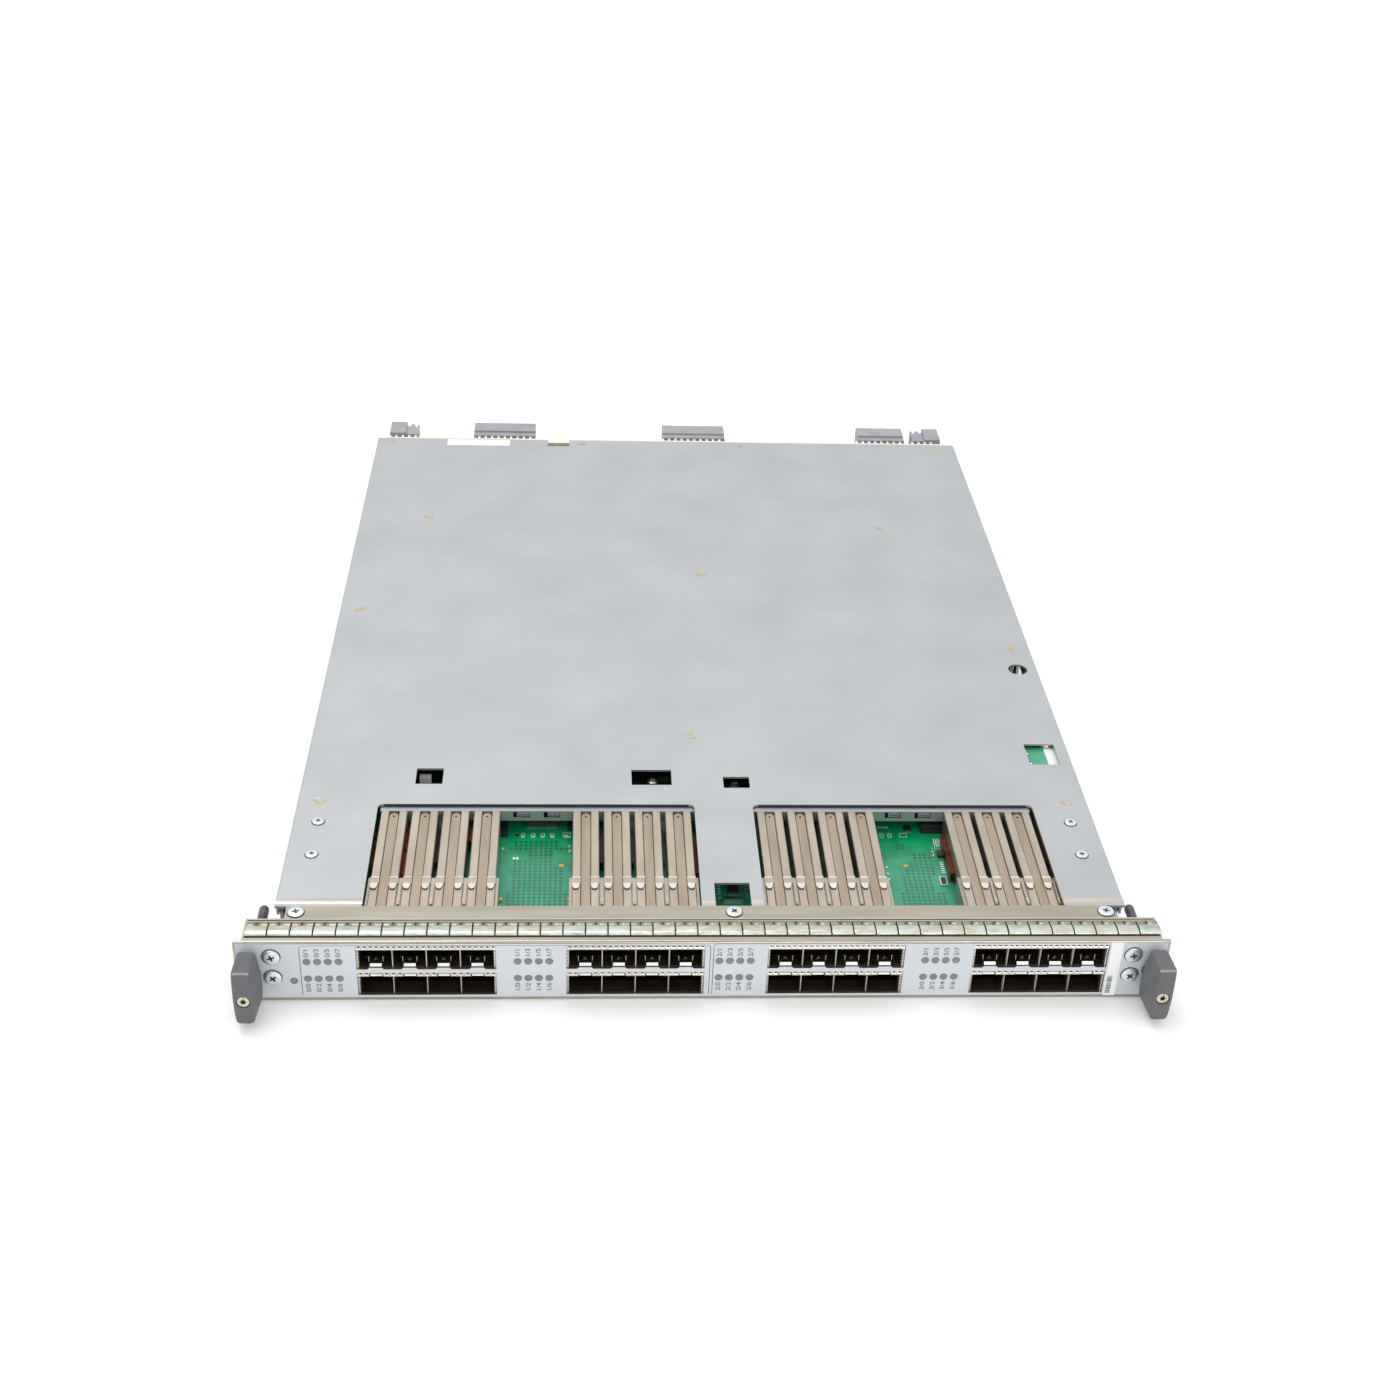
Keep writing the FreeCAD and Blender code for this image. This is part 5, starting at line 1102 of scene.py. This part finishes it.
def studs():
    """Clinch heads: a flat disc in a shallow crater of squeezed sheet."""
    piece = Piece("clinch_heads", ["stud"])
    inner = [(-145.6, 391.5), (122.2, 383.1), (12.5, 324.2), (-0.4, 159), (-55.5, 495.3), (44, 495.3)]
    rows = [(-175.2, y) for y in (103.5, 281.8, 495.3)] + [(175.2, y) for y in (103.5, 244.6, 495.3)]
    crater = ((3.0, -0.02), (2.9, 0.05), (2.55, 0.05), (2.4, 0.01), (0.9, 0.02), (0.7, 0.07), (0, 0.07))
    profile = [(radius, COVER_TOP + rise) for radius, rise in crater]
    for x, y in inner + rows:
        piece.lathe(profile, (x, y, 0), steps=28)
    return piece.done(slot="stud_plate")


# ---------------------------------------------------------------- carried-over solids

CAD_FINISHES = {"faceplate": "nickel", "faceplate_film": "film", "top_cover": "zinc", "base_tray": "zinc",
                "main_board": "board", "cage_cross_bar": "zinc", "left_side_bracket": "zinc",
                "right_side_bracket": "zinc", "cover_studs": "stud", "board_standoffs": "stainless",
                "flange_posts": "stainless",
                "left_jackscrew": "black_steel", "right_jackscrew": "black_steel",
                "shaft_bushings": "black_steel", "pin_strip": "cream", "heat_sink_left": "aluminium",
                "heat_sink_right": "aluminium", "guide_block_left": "housing", "guide_block_right": "housing"}


def dress_solids():
    """Give every solid that still shows its own finish."""
    for name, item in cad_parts.items():
        finish = CAD_FINISHES.get(name)
        if not finish:
            if "cage" in name:
                finish = "cage"
            elif name.startswith("light_pipe"):
                finish = "lamp"
            elif name.startswith("backplane"):
                finish = "housing"
            else:
                finish = "zinc"
        item.data.materials.clear()
        item.data.materials.append(MATERIALS[finish])


# ---------------------------------------------------------------- studio

HORIZON, ZENITH = 0.75, 1.2                      # brightness of the surroundings, low down and overhead


def studio():
    """White floor, pale surroundings that brighten upwards, and two large soft lamps."""
    bpy.ops.mesh.primitive_plane_add(size=12)
    floor = bpy.context.object
    floor.name = "floor"
    surface, tree, shader, place = blank("matt_white_floor", Roughness=0.9)
    tone = ramp(tree, patches(tree, place, (400, 400, 400)), [(0.3, "#f7f7f7"), (0.7, "#fafafa")])
    tree.links.new(tone, shader.inputs["Base Color"])
    floor.data.materials.append(surface)
    world = bpy.data.worlds.new("studio")
    bpy.context.scene.world = world
    world.use_nodes = True
    tree = world.node_tree
    direction = add(tree, "ShaderNodeTexCoord").outputs["Generated"]
    height = add(tree, "ShaderNodeSeparateXYZ", {"Vector": direction})
    glow = add(tree, "ShaderNodeMapRange", {"Value": height.outputs["Z"], "From Min": 0.0, "From Max": 0.8,
                                            "To Min": HORIZON, "To Max": ZENITH})
    backdrop = tree.nodes["Background"]
    backdrop.inputs["Color"].default_value = (1, 1, 1, 1)
    tree.links.new(glow.outputs["Result"], backdrop.inputs["Strength"])
    for name, place, target, size, power in (
            ("overhead", (-0.5, 0.3, 1.8), (0, 0.0, 0), (1.2, 0.9), 9),
            ("front", (0.6, -1.9, 1.2), (0, -0.2, 0), (1.2, 0.7), 4)):
        light = bpy.data.lights.new(name, "AREA")
        light.shape = "RECTANGLE"
        light.size, light.size_y = size
        light.energy = power
        lamp = bpy.data.objects.new(name, light)
        lamp.location = place
        lamp.rotation_euler = (Vector(target) - Vector(place)).to_track_quat("-Z", "Y").to_euler()
        bpy.context.scene.collection.objects.link(lamp)
    bpy.context.scene.view_settings.view_transform = "Standard"


CAMERA_PLACE = (-52.75, -624.0, 550.9)          # card millimetres
CAMERA_TURN = (4.088, 32.459, 2.508)             # degrees: yaw to the right, down, and roll
LENS = 49.1


def camera():
    """From above the front, a little left of the middle."""
    yaw, down, roll = (math.radians(angle) for angle in CAMERA_TURN)
    ahead = Vector((math.sin(yaw) * math.cos(down), math.cos(yaw) * math.cos(down), -math.sin(down)))
    right = Vector((math.cos(yaw), -math.sin(yaw), 0))
    up = right.cross(ahead)
    tilted_right = math.cos(roll) * right + math.sin(roll) * up
    tilted_up = -math.sin(roll) * right + math.cos(roll) * up
    data = bpy.data.cameras.new("camera")
    data.sensor_width = 36
    data.lens = LENS
    data.clip_start = 0.01
    data.clip_end = 50
    item = bpy.data.objects.new("camera", data)
    turn = Matrix((tilted_right, tilted_up, -ahead)).transposed().to_4x4()
    item.matrix_world = Matrix.Translation(TO_FRAME @ Vector(CAMERA_PLACE)) @ turn
    bpy.context.scene.collection.objects.link(item)
    bpy.context.scene.camera = item


dress_solids()
all_screws()
faceplate_print()
lamp_lenses()
lip_lines()
side_label()
spring_strips()
port_insides()
window_edges()
gasket()
knob("left")
knob("right")
channels()
small_parts()
window_posts()
cover_marks()
cover_hem()
rear_label()
studs()
studio()
camera()
